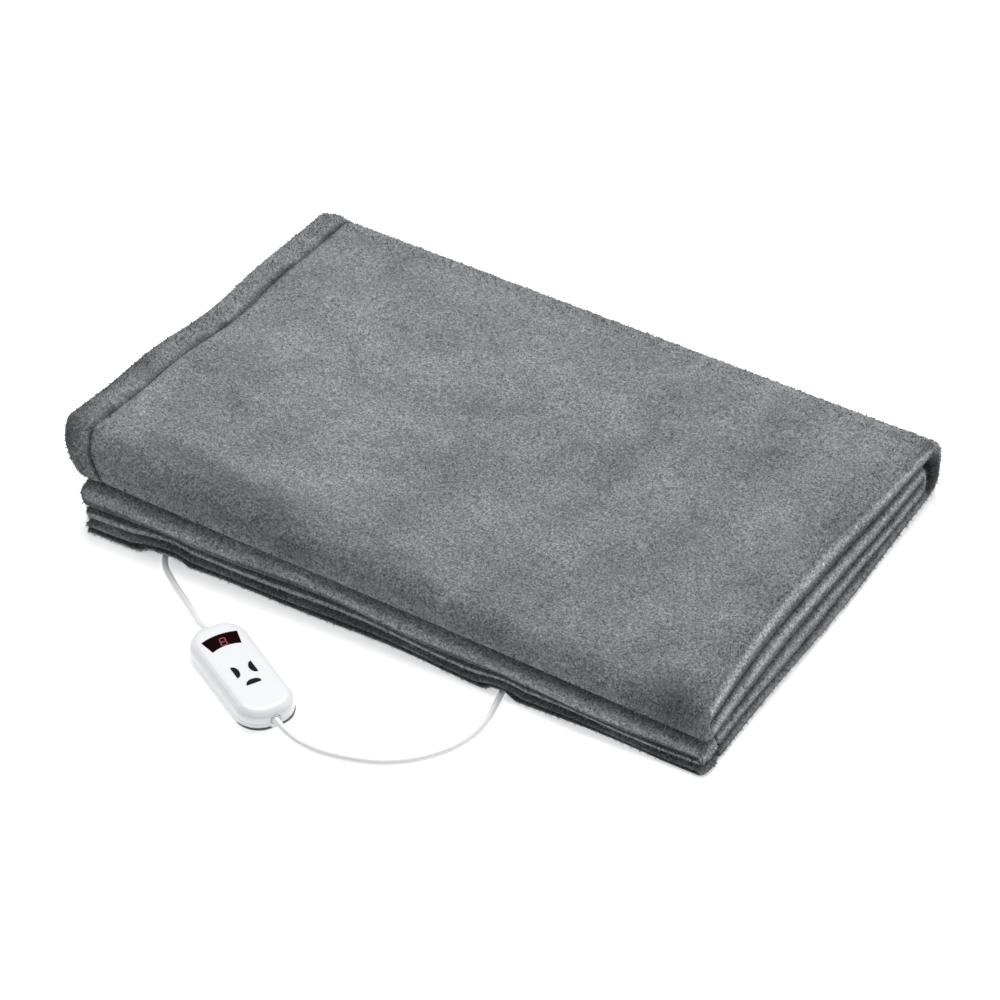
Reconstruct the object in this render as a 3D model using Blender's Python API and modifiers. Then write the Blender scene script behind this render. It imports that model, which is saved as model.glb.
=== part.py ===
"""Folded electric heated throw with its in-line controller, lead and mains cord.

Units are metres and +Z is up. The origin is the centre of the folded throw's underside.
"""
import math

import bmesh
import bpy
from mathutils import Matrix, Vector

NAME = "heated_throw"

# Folded throw: plan, heights of its four top corners, and the cloth.
LEFT_X = -0.3265            # hemmed edges
LIP_X = 0.3200              # where the right-hand fold starts to turn
FREE_END_Y = -0.222         # free ends of the two lower layers
FRONT_FOLD_Y = -0.191       # axis of the front fold
INNER_BACK_Y = 0.188        # axis of the inner back fold
OUTER_BACK_Y = 0.2023       # axis of the outer back fold
HEIGHT_LEFT_FRONT = 0.110
HEIGHT_LEFT_BACK = 0.070
HEIGHT_RIGHT_BACK = 0.062
HEIGHT_RIGHT_FRONT = 0.055
PITCH = 0.0070              # from one sheet to the next
SHEET_THICK = 0.0064
PLY_THICK = 0.0021
GAP = 0.0003                # between pieces that touch
TIGHT_TURN_STEPS = 4
WIDE_TURN_STEPS = 6
LIP_STEPS = 3

# Heating wire, between the two plies.
WIRE_RADIUS = 0.0006
WIRE_LINES_X = (-0.295, -0.050, 0.220)

# Cord, and the channels over it in the underside.
CORD_RADIUS = 0.003
CORD_INSIDE = 0.008         # how far each cord reaches into the controller
MAINS_X = 0.118             # where the mains cord runs under the throw
CHANNEL_HEIGHT = 2 * (CORD_RADIUS + GAP)
CHANNEL_FLAT = 0.0050
CHANNEL_RAMP = 0.0070
BEND_LEFT_X = 0.0600        # the channel widens to here, where the cord bends at the back

# Detachable connector under the front left of the throw.
SOCKET_X = -0.236
SOCKET_FRONT_Y = -0.075
SOCKET_WIDTH = 0.026
SOCKET_LENGTH = 0.030
SOCKET_HEIGHT = 0.013
SOCKET_EDGE = 0.002
PLUG_LENGTH = 0.026
NOSE_LENGTH = 0.011
NOSE_WIDTH = 0.019
NOSE_HEIGHT = 0.0072
CONTACT_RADIUS = 0.0010
CONTACT_LENGTH = 0.012
CONTACT_PITCH = 0.005
CONTACT_SEAT = 0.005        # how far a contact stands in the socket's back wall
RELIEF_LENGTH = 0.022
RELIEF_ROOT_WALL = 0.0028
RELIEF_TIP_WALL = 0.0010
RELIEF_DROP = 0.0010        # the lead leaves its plug pointing a little down
POCKET_RAMP = 0.0120

# In-line controller.
CASE_CENTRE = (-0.087, -0.3245)
CASE_TURN = math.radians(-31.0)
CASE_LENGTH = 0.133
CASE_WIDTH = 0.057
CASE_HEIGHT = 0.022
CASE_CORNER = 0.024
CASE_CORNER_STEPS = 8
CASE_BASE_EDGE = 0.003
CASE_CROWN = 0.009          # radius of the top's soft shoulders
CASE_WALL = 0.002
PARTING_HEIGHT = 0.009
PORT_HEIGHT = 0.0115
GROMMET_WALL = 0.0014
GROMMET_LENGTH = 0.006
GROMMET_COLLAR = 0.0012     # how far the collar stands out, behind the case's wall
GROMMET_COLLAR_THICK = 0.0010
BOARD_THICK = 0.0016
BOARD_CLEARANCE = 0.003
POST_X = 0.0535
POST_Y = 0.012
POST_RADIUS = 0.0038
POST_HEIGHT = 0.005
BOSS_RADIUS = 0.0030
SCREW_RADIUS = 0.0011
SCREW_HEAD_RADIUS = 0.0027
SCREW_HEAD_HEIGHT = 0.0015
SCREW_HEAD_DEPTH = 0.0015   # how deep the head is sunk in the base
SCREW_LENGTH = 0.011

# Display window, an arched slot, and the three half-moon buttons.
WINDOW_X = -0.036
WINDOW_OUTER_CHORD = 0.036
WINDOW_INNER_CHORD = 0.029
WINDOW_DEPTH = 0.0165
WINDOW_BULGE = 0.0032
WINDOW_SUNK = 0.0002
FLANGE = 0.0012
FLANGE_LAP = 0.0006         # overlap of a flange with the piece it is joined to
BUTTON_GROUP_X = 0.0118
BUTTON_CHORD = 0.0150
BUTTON_DEPTH = 0.0056
BUTTON_PROUD = 0.0011
BUTTON_TRAVEL = 0.0007
BUTTON_SIDE_X = -0.0064
BUTTON_SIDE_Y = 0.0048
BUTTON_LOW_X = 0.0108
BUTTON_STEM_RADIUS = 0.0016

# Parts on the circuit board: sizes, and places along and across it.
SWITCH_SIZE = (0.006, 0.006, 0.0025)
SWITCH_HEIGHT = 0.0035
SWITCH_DOME_RADIUS = 0.0017
DISPLAY_SIZE = (0.012, 0.019, 0.0095)
CHIP_SIZE = (0.0104, 0.0075, 0.0023)
CHIP_PLACE = (-0.0150, 0.0110)
TRIAC_SIZE = (0.0045, 0.0102, 0.0088)
TRIAC_PLACE = (0.0400, 0.0)
CAPACITOR_RADIUS = 0.0045
CAPACITOR_SPAN = (-0.022, -0.006)
CAPACITOR_Y = -0.0140
FUSE_RADIUS = 0.0026
FUSE_SPAN = (0.025, 0.037)
FUSE_Y = 0.0165

# Routes of the two cords, from the controller outwards: x, y, z.
LEAD_ROUTE = (
    (-0.1590, -0.2805, 0.0068), (-0.1700, -0.2715, 0.0036), (-0.1830, -0.2615, 0.0030),
    (-0.2000, -0.2503, 0.0030), (-0.2170, -0.2385, 0.0030), (-0.2310, -0.2260, 0.0030),
    (-0.2395, -0.2100, 0.0030), (-0.2420, -0.1920, 0.0030), (-0.2402, -0.1710, 0.0030),
    (-0.2372, -0.1520, 0.0031), (-0.2360, -0.1350, 0.0034),
)
MAINS_ROUTE = (
    (-0.0160, -0.3645, 0.0085), (-0.0010, -0.3665, 0.0046), (0.0230, -0.3660, 0.0030),
    (0.0520, -0.3598, 0.0030), (0.0790, -0.3480, 0.0030), (0.1015, -0.3290, 0.0030),
    (0.1185, -0.3040, 0.0030), (0.1262, -0.2790, 0.0030), (0.1265, -0.2555, 0.0030),
    (0.1228, -0.2330, 0.0030), (0.1190, -0.2100, 0.0030), (0.1180, -0.1800, 0.0030),
    (0.1180, -0.1000, 0.0030),
    (0.1180, 0.0000, 0.0030), (0.1180, 0.1000, 0.0030), (0.1180, 0.1700, 0.0030),
    (0.1180, 0.2040, 0.0030), (0.1148, 0.2180, 0.0030), (0.1060, 0.2278, 0.0030),
    (0.0930, 0.2310, 0.0031), (0.0750, 0.2311, 0.0036), (0.0560, 0.2310, 0.0041),
    (0.0390, 0.2310, 0.0041), (0.0212, 0.2310, 0.0041),
)
TAIL_ROUTE = (
    (-0.1292, 0.2310, 0.0041), (-0.1450, 0.2328, 0.0045), (-0.1600, 0.2385, 0.0056),
    (-0.1700, 0.2430, 0.0065), (-0.1780, 0.24555, 0.00685),
)

# Spare cord folded into a hank behind the throw, its tie, and the two-pin plug.
HANK_RIGHT_X = 0.0270
HANK_RUN = 0.120
HANK_FOLD_RADIUS = 0.018
HANK_NEAR_Y = 0.2310
HANK_LAYERS = 2
TIE_THICK = 0.0008
TIE_WIDTH = 0.016
HANK_FOLD_STEPS = 8
MAINS_PLUG_X = -0.200
MAINS_PLUG_LENGTH = 0.036
MAINS_PLUG_WIDTH = 0.0353
MAINS_PLUG_HEIGHT = 0.0137
MAINS_PLUG_EDGE = 0.005
MAINS_PIN_RADIUS = 0.0020
MAINS_PIN_SPACING = 0.0186
MAINS_PIN_REACH = 0.019
MAINS_PIN_ROOT = 0.008

FLEECE = (0.22, 0.235, 0.25)
BACK_FLEECE = (0.25, 0.265, 0.28)
WHITE = (0.86, 0.87, 0.88)
BLACK = (0.012, 0.012, 0.014)
METAL = (0.72, 0.70, 0.62)

# Spacing of the points along a tube, and how far a cutter runs past what it cuts.
LEAD_STEP = 0.014
MAINS_STEP = 0.016
TAIL_STEP = 0.012
OVERCUT = 0.001


def clear_scene():
    for thing in list(bpy.data.objects):
        bpy.data.objects.remove(thing, do_unlink=True)


def new_collection(name):
    group = bpy.data.collections.new(name)
    bpy.context.scene.collection.children.link(group)
    return group


def finish_of(name, colour, roughness, metallic=0.0):
    material = bpy.data.materials.new(name)
    material.use_nodes = True
    shader = material.node_tree.nodes["Principled BSDF"]
    shader.inputs["Base Color"].default_value = (*colour, 1.0)
    shader.inputs["Roughness"].default_value = roughness
    shader.inputs["Metallic"].default_value = metallic
    return material


def add_part(name, bm, colour, roughness=0.5, metallic=0.0, parent=None, smooth=False):
    mesh = bpy.data.meshes.new(name)
    bmesh.ops.recalc_face_normals(bm, faces=bm.faces[:])
    bm.to_mesh(mesh)
    bm.free()
    if smooth:
        mesh.shade_smooth()
        mesh.set_sharp_from_angle(angle=math.radians(35))
    part = bpy.data.objects.new(name, mesh)
    part.data.materials.append(finish_of(name, colour, roughness, metallic))
    parts.objects.link(part)
    part.parent = parent
    return part


def add_cutter(name, bm, parent=None):
    mesh = bpy.data.meshes.new(name)
    bmesh.ops.recalc_face_normals(bm, faces=bm.faces[:])
    bm.to_mesh(mesh)
    bm.free()
    cutter = bpy.data.objects.new(name, mesh)
    cutter.hide_render = True
    cutter.display_type = "WIRE"
    cutters.objects.link(cutter)
    cutter.parent = parent
    return cutter


def combine(part, tool, operation="DIFFERENCE"):
    step = part.modifiers.new(tool.name, "BOOLEAN")
    step.operation = operation
    step.object = tool
    step.solver = "EXACT"


def box(size, centre):
    bm = bmesh.new()
    bmesh.ops.create_cube(bm, size=1.0)
    bmesh.ops.scale(bm, vec=size, verts=bm.verts)
    bmesh.ops.translate(bm, vec=centre, verts=bm.verts)
    return bm


def round_edges(bm, direction, radius, steps):
    """Bevel the edges that run along one direction."""
    along = Vector(direction)
    chosen = [
        e for e in bm.edges
        if abs((e.verts[1].co - e.verts[0].co).normalized().dot(along)) > 0.99
    ]
    bmesh.ops.bevel(
        bm, geom=chosen, offset=radius, segments=steps, profile=0.5, affect="EDGES"
    )
    return bm


def cylinder(radius, start, end, sides=12, end_radius=None):
    """A round bar or cone from start to end."""
    start, end = Vector(start), Vector(end)
    bm = bmesh.new()
    bmesh.ops.create_cone(
        bm, cap_ends=True, segments=sides, radius1=radius,
        radius2=radius if end_radius is None else end_radius, depth=(end - start).length,
    )
    turn = Vector((0, 0, 1)).rotation_difference(end - start).to_matrix().to_4x4()
    bmesh.ops.transform(
        bm, matrix=Matrix.Translation((start + end) / 2) @ turn, verts=bm.verts
    )
    return bm


def prism(outline, low, high):
    """A flat outline, given as x, y points, filled and raised from low to high."""
    bm = bmesh.new()
    ring = [bm.verts.new((x, y, low)) for x, y in outline]
    face = bm.faces.new(ring)
    raised = bmesh.ops.extrude_face_region(bm, geom=[face])
    top = [v for v in raised["geom"] if isinstance(v, bmesh.types.BMVert)]
    bmesh.ops.translate(bm, vec=(0, 0, high - low), verts=top)
    return bm


def merge(*pieces):
    """Put several separate meshes in one, as a tool for a Boolean."""
    whole = bmesh.new()
    for piece in pieces:
        mesh = bpy.data.meshes.new("piece")
        piece.to_mesh(mesh)
        piece.free()
        whole.from_mesh(mesh)
        bpy.data.meshes.remove(mesh)
    return whole


# ---------------------------------------------------------------- the fold

RUN_HEIGHTS = {"lower": 3, "middle": 5, "upper": 7, "bottom": 1}  # in pitches
STACK = 8 * PITCH - (PITCH - SHEET_THICK)


def channel(x, centre, flat, ramp):
    """1 over a channel's flat roof, falling to 0 beside it."""
    return min(1.0, max(0.0, 1.0 - (abs(x - centre) - flat) / ramp))


def pocket_height(y):
    """Height of the hollow over the lead and the connector, along the throw's depth."""
    front = plug_back_y() - RELIEF_LENGTH - 2 * GAP
    back = SOCKET_FRONT_Y + SOCKET_LENGTH + GAP
    roof = SOCKET_HEIGHT + GAP
    if y < front:
        ease = min(1.0, max(0.0, (y - front + POCKET_RAMP) / POCKET_RAMP))
        return CHANNEL_HEIGHT + (roof - CHANNEL_HEIGHT) * ease
    return roof * min(1.0, max(0.0, 1.0 - (y - back) / POCKET_RAMP))


def plug_back_y():
    return SOCKET_FRONT_Y - GAP - PLUG_LENGTH


def underside(x, y):
    """Height of the throw's underside: flat, raised over the cords and connector."""
    mains = CHANNEL_HEIGHT * channel(x, MAINS_X, CHANNEL_FLAT, CHANNEL_RAMP)
    lead = pocket_height(y) * channel(x, SOCKET_X, SOCKET_WIDTH / 2 + GAP, POCKET_RAMP)
    bend_half = (MAINS_X + CHANNEL_FLAT - BEND_LEFT_X) / 2
    bend = CHANNEL_HEIGHT * channel(x, BEND_LEFT_X + bend_half, bend_half, CHANNEL_RAMP)
    bend *= min(1.0, max(0.0, 1.0 - (INNER_BACK_Y - y) / CHANNEL_RAMP))
    return max(mains, lead, bend)


def top_height(x, y):
    across = (x - LEFT_X) / (LIP_X - LEFT_X)
    along = (y - FREE_END_Y) / (OUTER_BACK_Y - FREE_END_Y)
    front = HEIGHT_LEFT_FRONT + (HEIGHT_RIGHT_FRONT - HEIGHT_LEFT_FRONT) * across
    back = HEIGHT_LEFT_BACK + (HEIGHT_RIGHT_BACK - HEIGHT_LEFT_BACK) * across
    return front + (back - front) * along


def shared_rows():
    front = plug_back_y() - RELIEF_LENGTH - 2 * GAP
    back = SOCKET_FRONT_Y + SOCKET_LENGTH + GAP
    return [
        FRONT_FOLD_Y, front - POCKET_RAMP, front, back, back + POCKET_RAMP,
        INNER_BACK_Y - CHANNEL_RAMP, INNER_BACK_Y,
    ]


def strip_path():
    """Rows along the folded strip: y, height, heading, and the way the run travels."""
    rows = []

    def run(level, ys, way):
        heading = 0.0 if way > 0 else math.pi
        for y in ys:
            rows.append((y, level * PITCH, heading, way))

    def turn(centre_y, level, radius, start, sweep, steps, way):
        side = 1 if sweep > 0 else -1
        for k in range(1, steps):
            heading = start + sweep * k / steps
            y = centre_y + side * radius * math.sin(heading)
            z = level * PITCH - side * radius * math.cos(heading)
            rows.append((y, z, heading, way))

    shared = shared_rows()
    back_to_front = shared[::-1]
    run(RUN_HEIGHTS["lower"], [FREE_END_Y] + shared, 1)
    turn(INNER_BACK_Y, 4, PITCH, 0.0, math.pi, TIGHT_TURN_STEPS, 1)
    run(RUN_HEIGHTS["middle"], back_to_front, -1)
    turn(FRONT_FOLD_Y, 6, PITCH, math.pi, -math.pi, TIGHT_TURN_STEPS, -1)
    run(RUN_HEIGHTS["upper"], shared + [OUTER_BACK_Y], 1)
    turn(OUTER_BACK_Y, 4, 3 * PITCH, 0.0, -math.pi, WIDE_TURN_STEPS, 1)
    run(RUN_HEIGHTS["bottom"], [OUTER_BACK_Y] + back_to_front + [FREE_END_Y], -1)
    return rows


def sheet_columns():
    """Columns across the sheet: x, lip angle, and +1 or -1 for the two halves."""
    half = SOCKET_WIDTH / 2 + GAP
    xs = {LEFT_X, LIP_X, *WIRE_LINES_X, BEND_LEFT_X - CHANNEL_RAMP, BEND_LEFT_X}
    for centre, flat, ramp in (
        (SOCKET_X, half, POCKET_RAMP), (MAINS_X, CHANNEL_FLAT, CHANNEL_RAMP)
    ):
        xs.update((centre - flat - ramp, centre - flat, centre + flat, centre + flat + ramp))
    ordered = sorted(xs)
    over = [(x, 0.0, 1) for x in ordered]
    lip = [(LIP_X, math.pi * k / LIP_STEPS, 1) for k in range(1, LIP_STEPS)]
    under = [(x, math.pi, -1) for x in reversed(ordered)]
    return over + lip + under


def folded(row, column, offset):
    """Place a point of the flat sheet, offset from its mid-surface, in the folded stack."""
    y, z, heading, _ = row
    x, lip, _ = column
    reach = PITCH / 2 + offset
    out = reach * math.cos(lip)
    point_x = x + reach * math.sin(lip)
    point_y = y - math.sin(heading) * out
    point_z = z + math.cos(heading) * out - (PITCH - SHEET_THICK) / 2
    low = underside(point_x, point_y)
    return Vector((
        point_x, point_y,
        low + point_z / STACK * (top_height(point_x, point_y) - low),
    ))


def folded_ply(inner, outer):
    """One ply of the throw: a flat slab on the sheet's grid, folded to its place."""
    rows, columns = strip_path(), sheet_columns()
    bm = bmesh.new()
    bmesh.ops.create_grid(
        bm, x_segments=len(columns) - 1, y_segments=len(rows) - 1, size=1.0
    )
    bmesh.ops.solidify(bm, geom=bm.faces[:], thickness=1.0)
    places = {}
    for vert in bm.verts:
        i = round((vert.co.x + 1) / 2 * (len(columns) - 1))
        j = round((vert.co.y + 1) / 2 * (len(rows) - 1))
        places[vert] = (i, j, inner if abs(vert.co.z) < 0.5 else outer)
    for face in list(bm.faces):
        spots = {places[v][:2]: v for v in face.verts}
        if len(spots) < 4:
            continue
        low_i, low_j = min(i for i, _ in spots), min(j for _, j in spots)
        same_way = columns[low_i][2] * rows[low_j][3] > 0
        ends = ((0, 0), (1, 1)) if same_way else ((0, 1), (1, 0))
        a, b = (spots[low_i + di, low_j + dj] for di, dj in ends)
        bmesh.utils.face_split(face, a, b)
    for vert, (i, j, offset) in places.items():
        vert.co = folded(rows[j], columns[i], offset)
    bmesh.ops.triangulate(bm, faces=[f for f in bm.faces if len(f.verts) > 3])
    return bm


def heating_wire_points():
    """The wire's way through the folded sheet: runs joined by turns at the free ends."""
    rows, columns = strip_path(), sheet_columns()
    lines = [i for i, (x, _, _) in enumerate(columns) if x in WIRE_LINES_X]
    first, last = 1, len(rows) - 2
    points, row = [], last
    for k, line in enumerate(lines):
        span = range(first, last + 1)
        order = span if row == first else reversed(span)
        points += [folded(rows[j], columns[line], 0.0) for j in order]
        row = first if row == last else last
        if k + 1 < len(lines):
            between = range(line + 1, lines[k + 1])
            points += [folded(rows[row], columns[i], 0.0) for i in between]
    return points


def add_tube(name, points, radius, colour, roughness=0.4, detail=2):
    curve = bpy.data.curves.new(name, "CURVE")
    curve.dimensions = "3D"
    curve.resolution_u = 1
    curve.render_resolution_u = 0
    curve.bevel_depth = radius
    curve.bevel_resolution = detail
    curve.use_fill_caps = True
    spline = curve.splines.new("POLY")
    spline.points.add(len(points) - 1)
    for spot, point in zip(spline.points, points):
        spot.co = (*point, 1.0)
    tube = bpy.data.objects.new(name, curve)
    curve.materials.append(finish_of(name, colour, roughness))
    parts.objects.link(tube)
    return tube


def smooth_route(points, step):
    """Points a step apart on a smooth curve through the route's own points."""
    points = [Vector(p) for p in points]
    ends = [2 * points[0] - points[1], *points, 2 * points[-1] - points[-2]]
    route = [points[0]]
    for a, b, c, d in zip(ends, ends[1:], ends[2:], ends[3:]):
        count = max(1, round((c - b).length / step))
        for k in range(1, count + 1):
            t = k / count
            route.append(0.5 * (
                2 * b + (c - a) * t + (2 * a - 5 * b + 4 * c - d) * t * t
                + (3 * b - a - 3 * c + d) * t ** 3
            ))
    return route


# ---------------------------------------------------------------- throw and connector

def make_throw():
    half_gap = SHEET_THICK / 2 - PLY_THICK
    add_part("face_fabric", folded_ply(half_gap, SHEET_THICK / 2), FLEECE, 0.95)
    add_part("back_fabric", folded_ply(-SHEET_THICK / 2, -half_gap), BACK_FLEECE, 0.95)
    add_tube("heating_wire", heating_wire_points(), WIRE_RADIUS, (0.75, 0.72, 0.65), 0.5, 0)


def contact_places():
    return [SOCKET_X + k * CONTACT_PITCH for k in (-1, 0, 1)]


def make_connector():
    middle = SOCKET_HEIGHT / 2
    room = 2 * GAP
    socket = add_part("socket_housing", round_edges(box(
        (SOCKET_WIDTH, SOCKET_LENGTH, SOCKET_HEIGHT),
        (SOCKET_X, SOCKET_FRONT_Y + SOCKET_LENGTH / 2, middle),
    ), (0, 1, 0), SOCKET_EDGE, 2), WHITE, 0.4)
    cavity = box(
        (NOSE_WIDTH + room, 2 * (NOSE_LENGTH + GAP), NOSE_HEIGHT + room),
        (SOCKET_X, SOCKET_FRONT_Y, middle),
    )
    combine(socket, add_cutter("socket_cavity", cavity))
    cavity_end = SOCKET_FRONT_Y + NOSE_LENGTH + GAP
    seats = merge(*(
        cylinder(CONTACT_RADIUS + GAP, (x, cavity_end - OVERCUT, middle),
                 (x, cavity_end + CONTACT_SEAT, middle), 8)
        for x in contact_places()
    ))
    combine(socket, add_cutter("contact_seats", seats))
    for k, x in enumerate(contact_places(), 1):
        start = cavity_end + CONTACT_SEAT - GAP
        add_part(f"socket_contact_{k}", cylinder(
            CONTACT_RADIUS, (x, start - CONTACT_LENGTH, middle), (x, start, middle), 8
        ), METAL, 0.25, 1.0, smooth=True)
    back = plug_back_y()
    plug = add_part("connector_plug", round_edges(box(
        (SOCKET_WIDTH, PLUG_LENGTH, SOCKET_HEIGHT), (SOCKET_X, back + PLUG_LENGTH / 2, middle)
    ), (0, 1, 0), SOCKET_EDGE, 2), WHITE, 0.4)
    face = back + PLUG_LENGTH
    nose = box(
        (NOSE_WIDTH, NOSE_LENGTH + 2 * OVERCUT, NOSE_HEIGHT),
        (SOCKET_X, face + NOSE_LENGTH / 2 - OVERCUT, middle),
    )
    combine(plug, add_cutter("plug_nose", nose), "UNION")
    holes = merge(*(
        cylinder(CONTACT_RADIUS + GAP, (x, start - CONTACT_LENGTH - GAP, middle),
                 (x, face + NOSE_LENGTH + OVERCUT, middle), 8)
        for x in contact_places()
    ))
    combine(plug, add_cutter("plug_contact_holes", holes))
    make_relief(
        "connector_strain_relief", (SOCKET_X, back - GAP, middle),
        (SOCKET_X, back - GAP - RELIEF_LENGTH, middle - RELIEF_DROP),
    )


def make_relief(name, root, tip):
    """A tapered sleeve that the cord passes through."""
    sleeve = add_part(name, cylinder(
        CORD_RADIUS + RELIEF_ROOT_WALL, root, tip, 12, CORD_RADIUS + RELIEF_TIP_WALL
    ), WHITE, 0.45, smooth=True)
    way = (Vector(tip) - Vector(root)).normalized() * OVERCUT
    bore = cylinder(CORD_RADIUS + GAP, Vector(root) - way, Vector(tip) + way, 12)
    combine(sleeve, add_cutter(name + "_bore", bore))


# ---------------------------------------------------------------- controller

def case_shell(name, low, high, open_side, edge, edge_steps, parent):
    """One half of the case: a rounded box with one open side, made a shell."""
    bm = box((CASE_LENGTH, CASE_WIDTH, high - low), (0, 0, (low + high) / 2))
    round_edges(bm, (0, 0, 1), CASE_CORNER, CASE_CORNER_STEPS)
    lid = [f for f in bm.faces if f.normal.z * open_side > 0.9]
    closed = [f for f in bm.faces if f.normal.z * open_side < -0.9]
    rim = list({e for f in closed for e in f.edges})
    bmesh.ops.delete(bm, geom=lid, context="FACES_ONLY")
    bmesh.ops.bevel(
        bm, geom=rim, offset=edge, segments=edge_steps, profile=0.5, affect="EDGES"
    )
    shell = add_part(name, bm, WHITE, 0.35, parent=parent, smooth=True)
    wall = shell.modifiers.new("wall", "SOLIDIFY")
    wall.thickness = CASE_WALL
    wall.offset = -1.0
    wall.use_even_offset = True
    return shell


def post_places():
    return [(sx * POST_X, sy * POST_Y) for sx in (-1, 1) for sy in (-1, 1)]


def board_height():
    return POST_HEIGHT + GAP


def make_case(parent):
    bottom = case_shell("case_bottom", 0.0, PARTING_HEIGHT, 1, CASE_BASE_EDGE, 2, parent)
    top = case_shell(
        "case_top", PARTING_HEIGHT + GAP, CASE_HEIGHT, -1, CASE_CROWN, 5, parent
    )
    for name, sign in (("lead_port", -1), ("mains_port", 1)):
        near, far = (sign * (CASE_LENGTH / 2 + reach) for reach in (-2 * CASE_WALL, CASE_WALL))
        radius = CORD_RADIUS + GROMMET_WALL + 2 * GAP
        port = add_cutter(name, cylinder(
            radius, (near, 0, PORT_HEIGHT), (far, 0, PORT_HEIGHT), 16
        ), parent)
        combine(bottom, port)
        combine(top, port)
    roof = CASE_HEIGHT - CASE_WALL / 2
    posts = merge(*(
        cylinder(POST_RADIUS, (x, y, CASE_WALL / 2), (x, y, POST_HEIGHT), 10)
        for x, y in post_places()
    ))
    combine(bottom, add_cutter("screw_posts", posts, parent), "UNION")
    seat = SCREW_HEAD_HEIGHT + SCREW_HEAD_DEPTH
    recesses = merge(*(
        cylinder(SCREW_HEAD_RADIUS + GAP, (x, y, -OVERCUT), (x, y, seat), 10)
        for x, y in post_places()
    ))
    combine(bottom, add_cutter("screw_recesses", recesses, parent))
    through = merge(*(
        cylinder(SCREW_RADIUS + GAP, (x, y, -OVERCUT), (x, y, POST_HEIGHT + OVERCUT), 8)
        for x, y in post_places()
    ))
    combine(bottom, add_cutter("screw_holes", through, parent))
    boss_low = board_height() + BOARD_THICK + GAP
    bosses = merge(*(
        cylinder(BOSS_RADIUS, (x, y, boss_low), (x, y, roof), 10) for x, y in post_places()
    ))
    combine(top, add_cutter("screw_bosses", bosses, parent), "UNION")
    pilots = merge(*(
        cylinder(SCREW_RADIUS + GAP, (x, y, boss_low - OVERCUT), (x, y, seat + SCREW_LENGTH), 8)
        for x, y in post_places()
    ))
    combine(top, add_cutter("screw_pilots", pilots, parent))
    under, over = CASE_HEIGHT - 2 * CASE_WALL, CASE_HEIGHT + OVERCUT
    window_hole = prism(window_outline(0.0), under, over)
    combine(top, add_cutter("window_opening", window_hole, parent))
    for name, place in button_places().items():
        hole = prism(button_outline(place, 0.0), under, over)
        combine(top, add_cutter(name + "_opening", hole, parent))
    for k, (x, y) in enumerate(post_places(), 1):
        head = seat - GAP
        screw = add_part(f"case_screw_{k}", cylinder(
            SCREW_HEAD_RADIUS, (x, y, head - SCREW_HEAD_HEIGHT), (x, y, head), 10
        ), METAL, 0.3, 1.0, parent, True)
        shank = cylinder(
            SCREW_RADIUS, (x, y, head - SCREW_HEAD_HEIGHT / 3), (x, y, head + SCREW_LENGTH - GAP), 8
        )
        combine(screw, add_cutter(f"screw_shank_{k}", shank, parent), "UNION")


def window_outline(inset):
    """An arched slot across the case: both long sides bulge towards the near end."""
    outer_x = WINDOW_X - WINDOW_DEPTH / 2 + inset
    inner_x = WINDOW_X + WINDOW_DEPTH / 2 - inset
    outer_half = WINDOW_OUTER_CHORD / 2 - inset
    inner_half = WINDOW_INNER_CHORD / 2 - inset
    arc = [k / 3 for k in range(-3, 4)]
    outer = [(outer_x - WINDOW_BULGE * (1 - t * t), outer_half * t) for t in arc]
    inner = [(inner_x - WINDOW_BULGE * (1 - t * t), inner_half * t) for t in reversed(arc)]
    return outer + inner


def button_places():
    """Middle of each button's flat side, and the way its round side points."""
    side_x = BUTTON_GROUP_X + BUTTON_SIDE_X
    reach = BUTTON_SIDE_Y + BUTTON_DEPTH
    return {
        "button_timer": (side_x, -reach, math.radians(90)),
        "button_heat": (side_x, reach, math.radians(-90)),
        "button_power": (BUTTON_GROUP_X + BUTTON_LOW_X + BUTTON_DEPTH / 2, 0.0, math.pi),
    }


def button_outline(place, inset):
    """A half-moon: a chord, and an arc on the side that faces the group's middle."""
    x, y, way = place
    half = BUTTON_CHORD / 2 - inset
    outline = [(inset, half), (inset, -half)]
    steps = 6
    for k in range(1, steps):
        angle = -math.pi / 2 + math.pi * k / steps
        outline.append((
            inset + (BUTTON_DEPTH - 2 * inset) * math.cos(angle), half * math.sin(angle)
        ))
    turn = Matrix.Rotation(way, 2)
    return [tuple(turn @ Vector(p) + Vector((x, y))) for p in outline]


def make_window(parent):
    under = CASE_HEIGHT - CASE_WALL - GAP
    window = add_part(
        "display_window",
        prism(window_outline(GAP), under - FLANGE_LAP, CASE_HEIGHT - WINDOW_SUNK),
        (0.03, 0.002, 0.004), 0.08, parent=parent,
    )
    flange = prism(window_outline(-FLANGE), under - FLANGE, under)
    combine(window, add_cutter("window_flange", flange, parent), "UNION")


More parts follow.
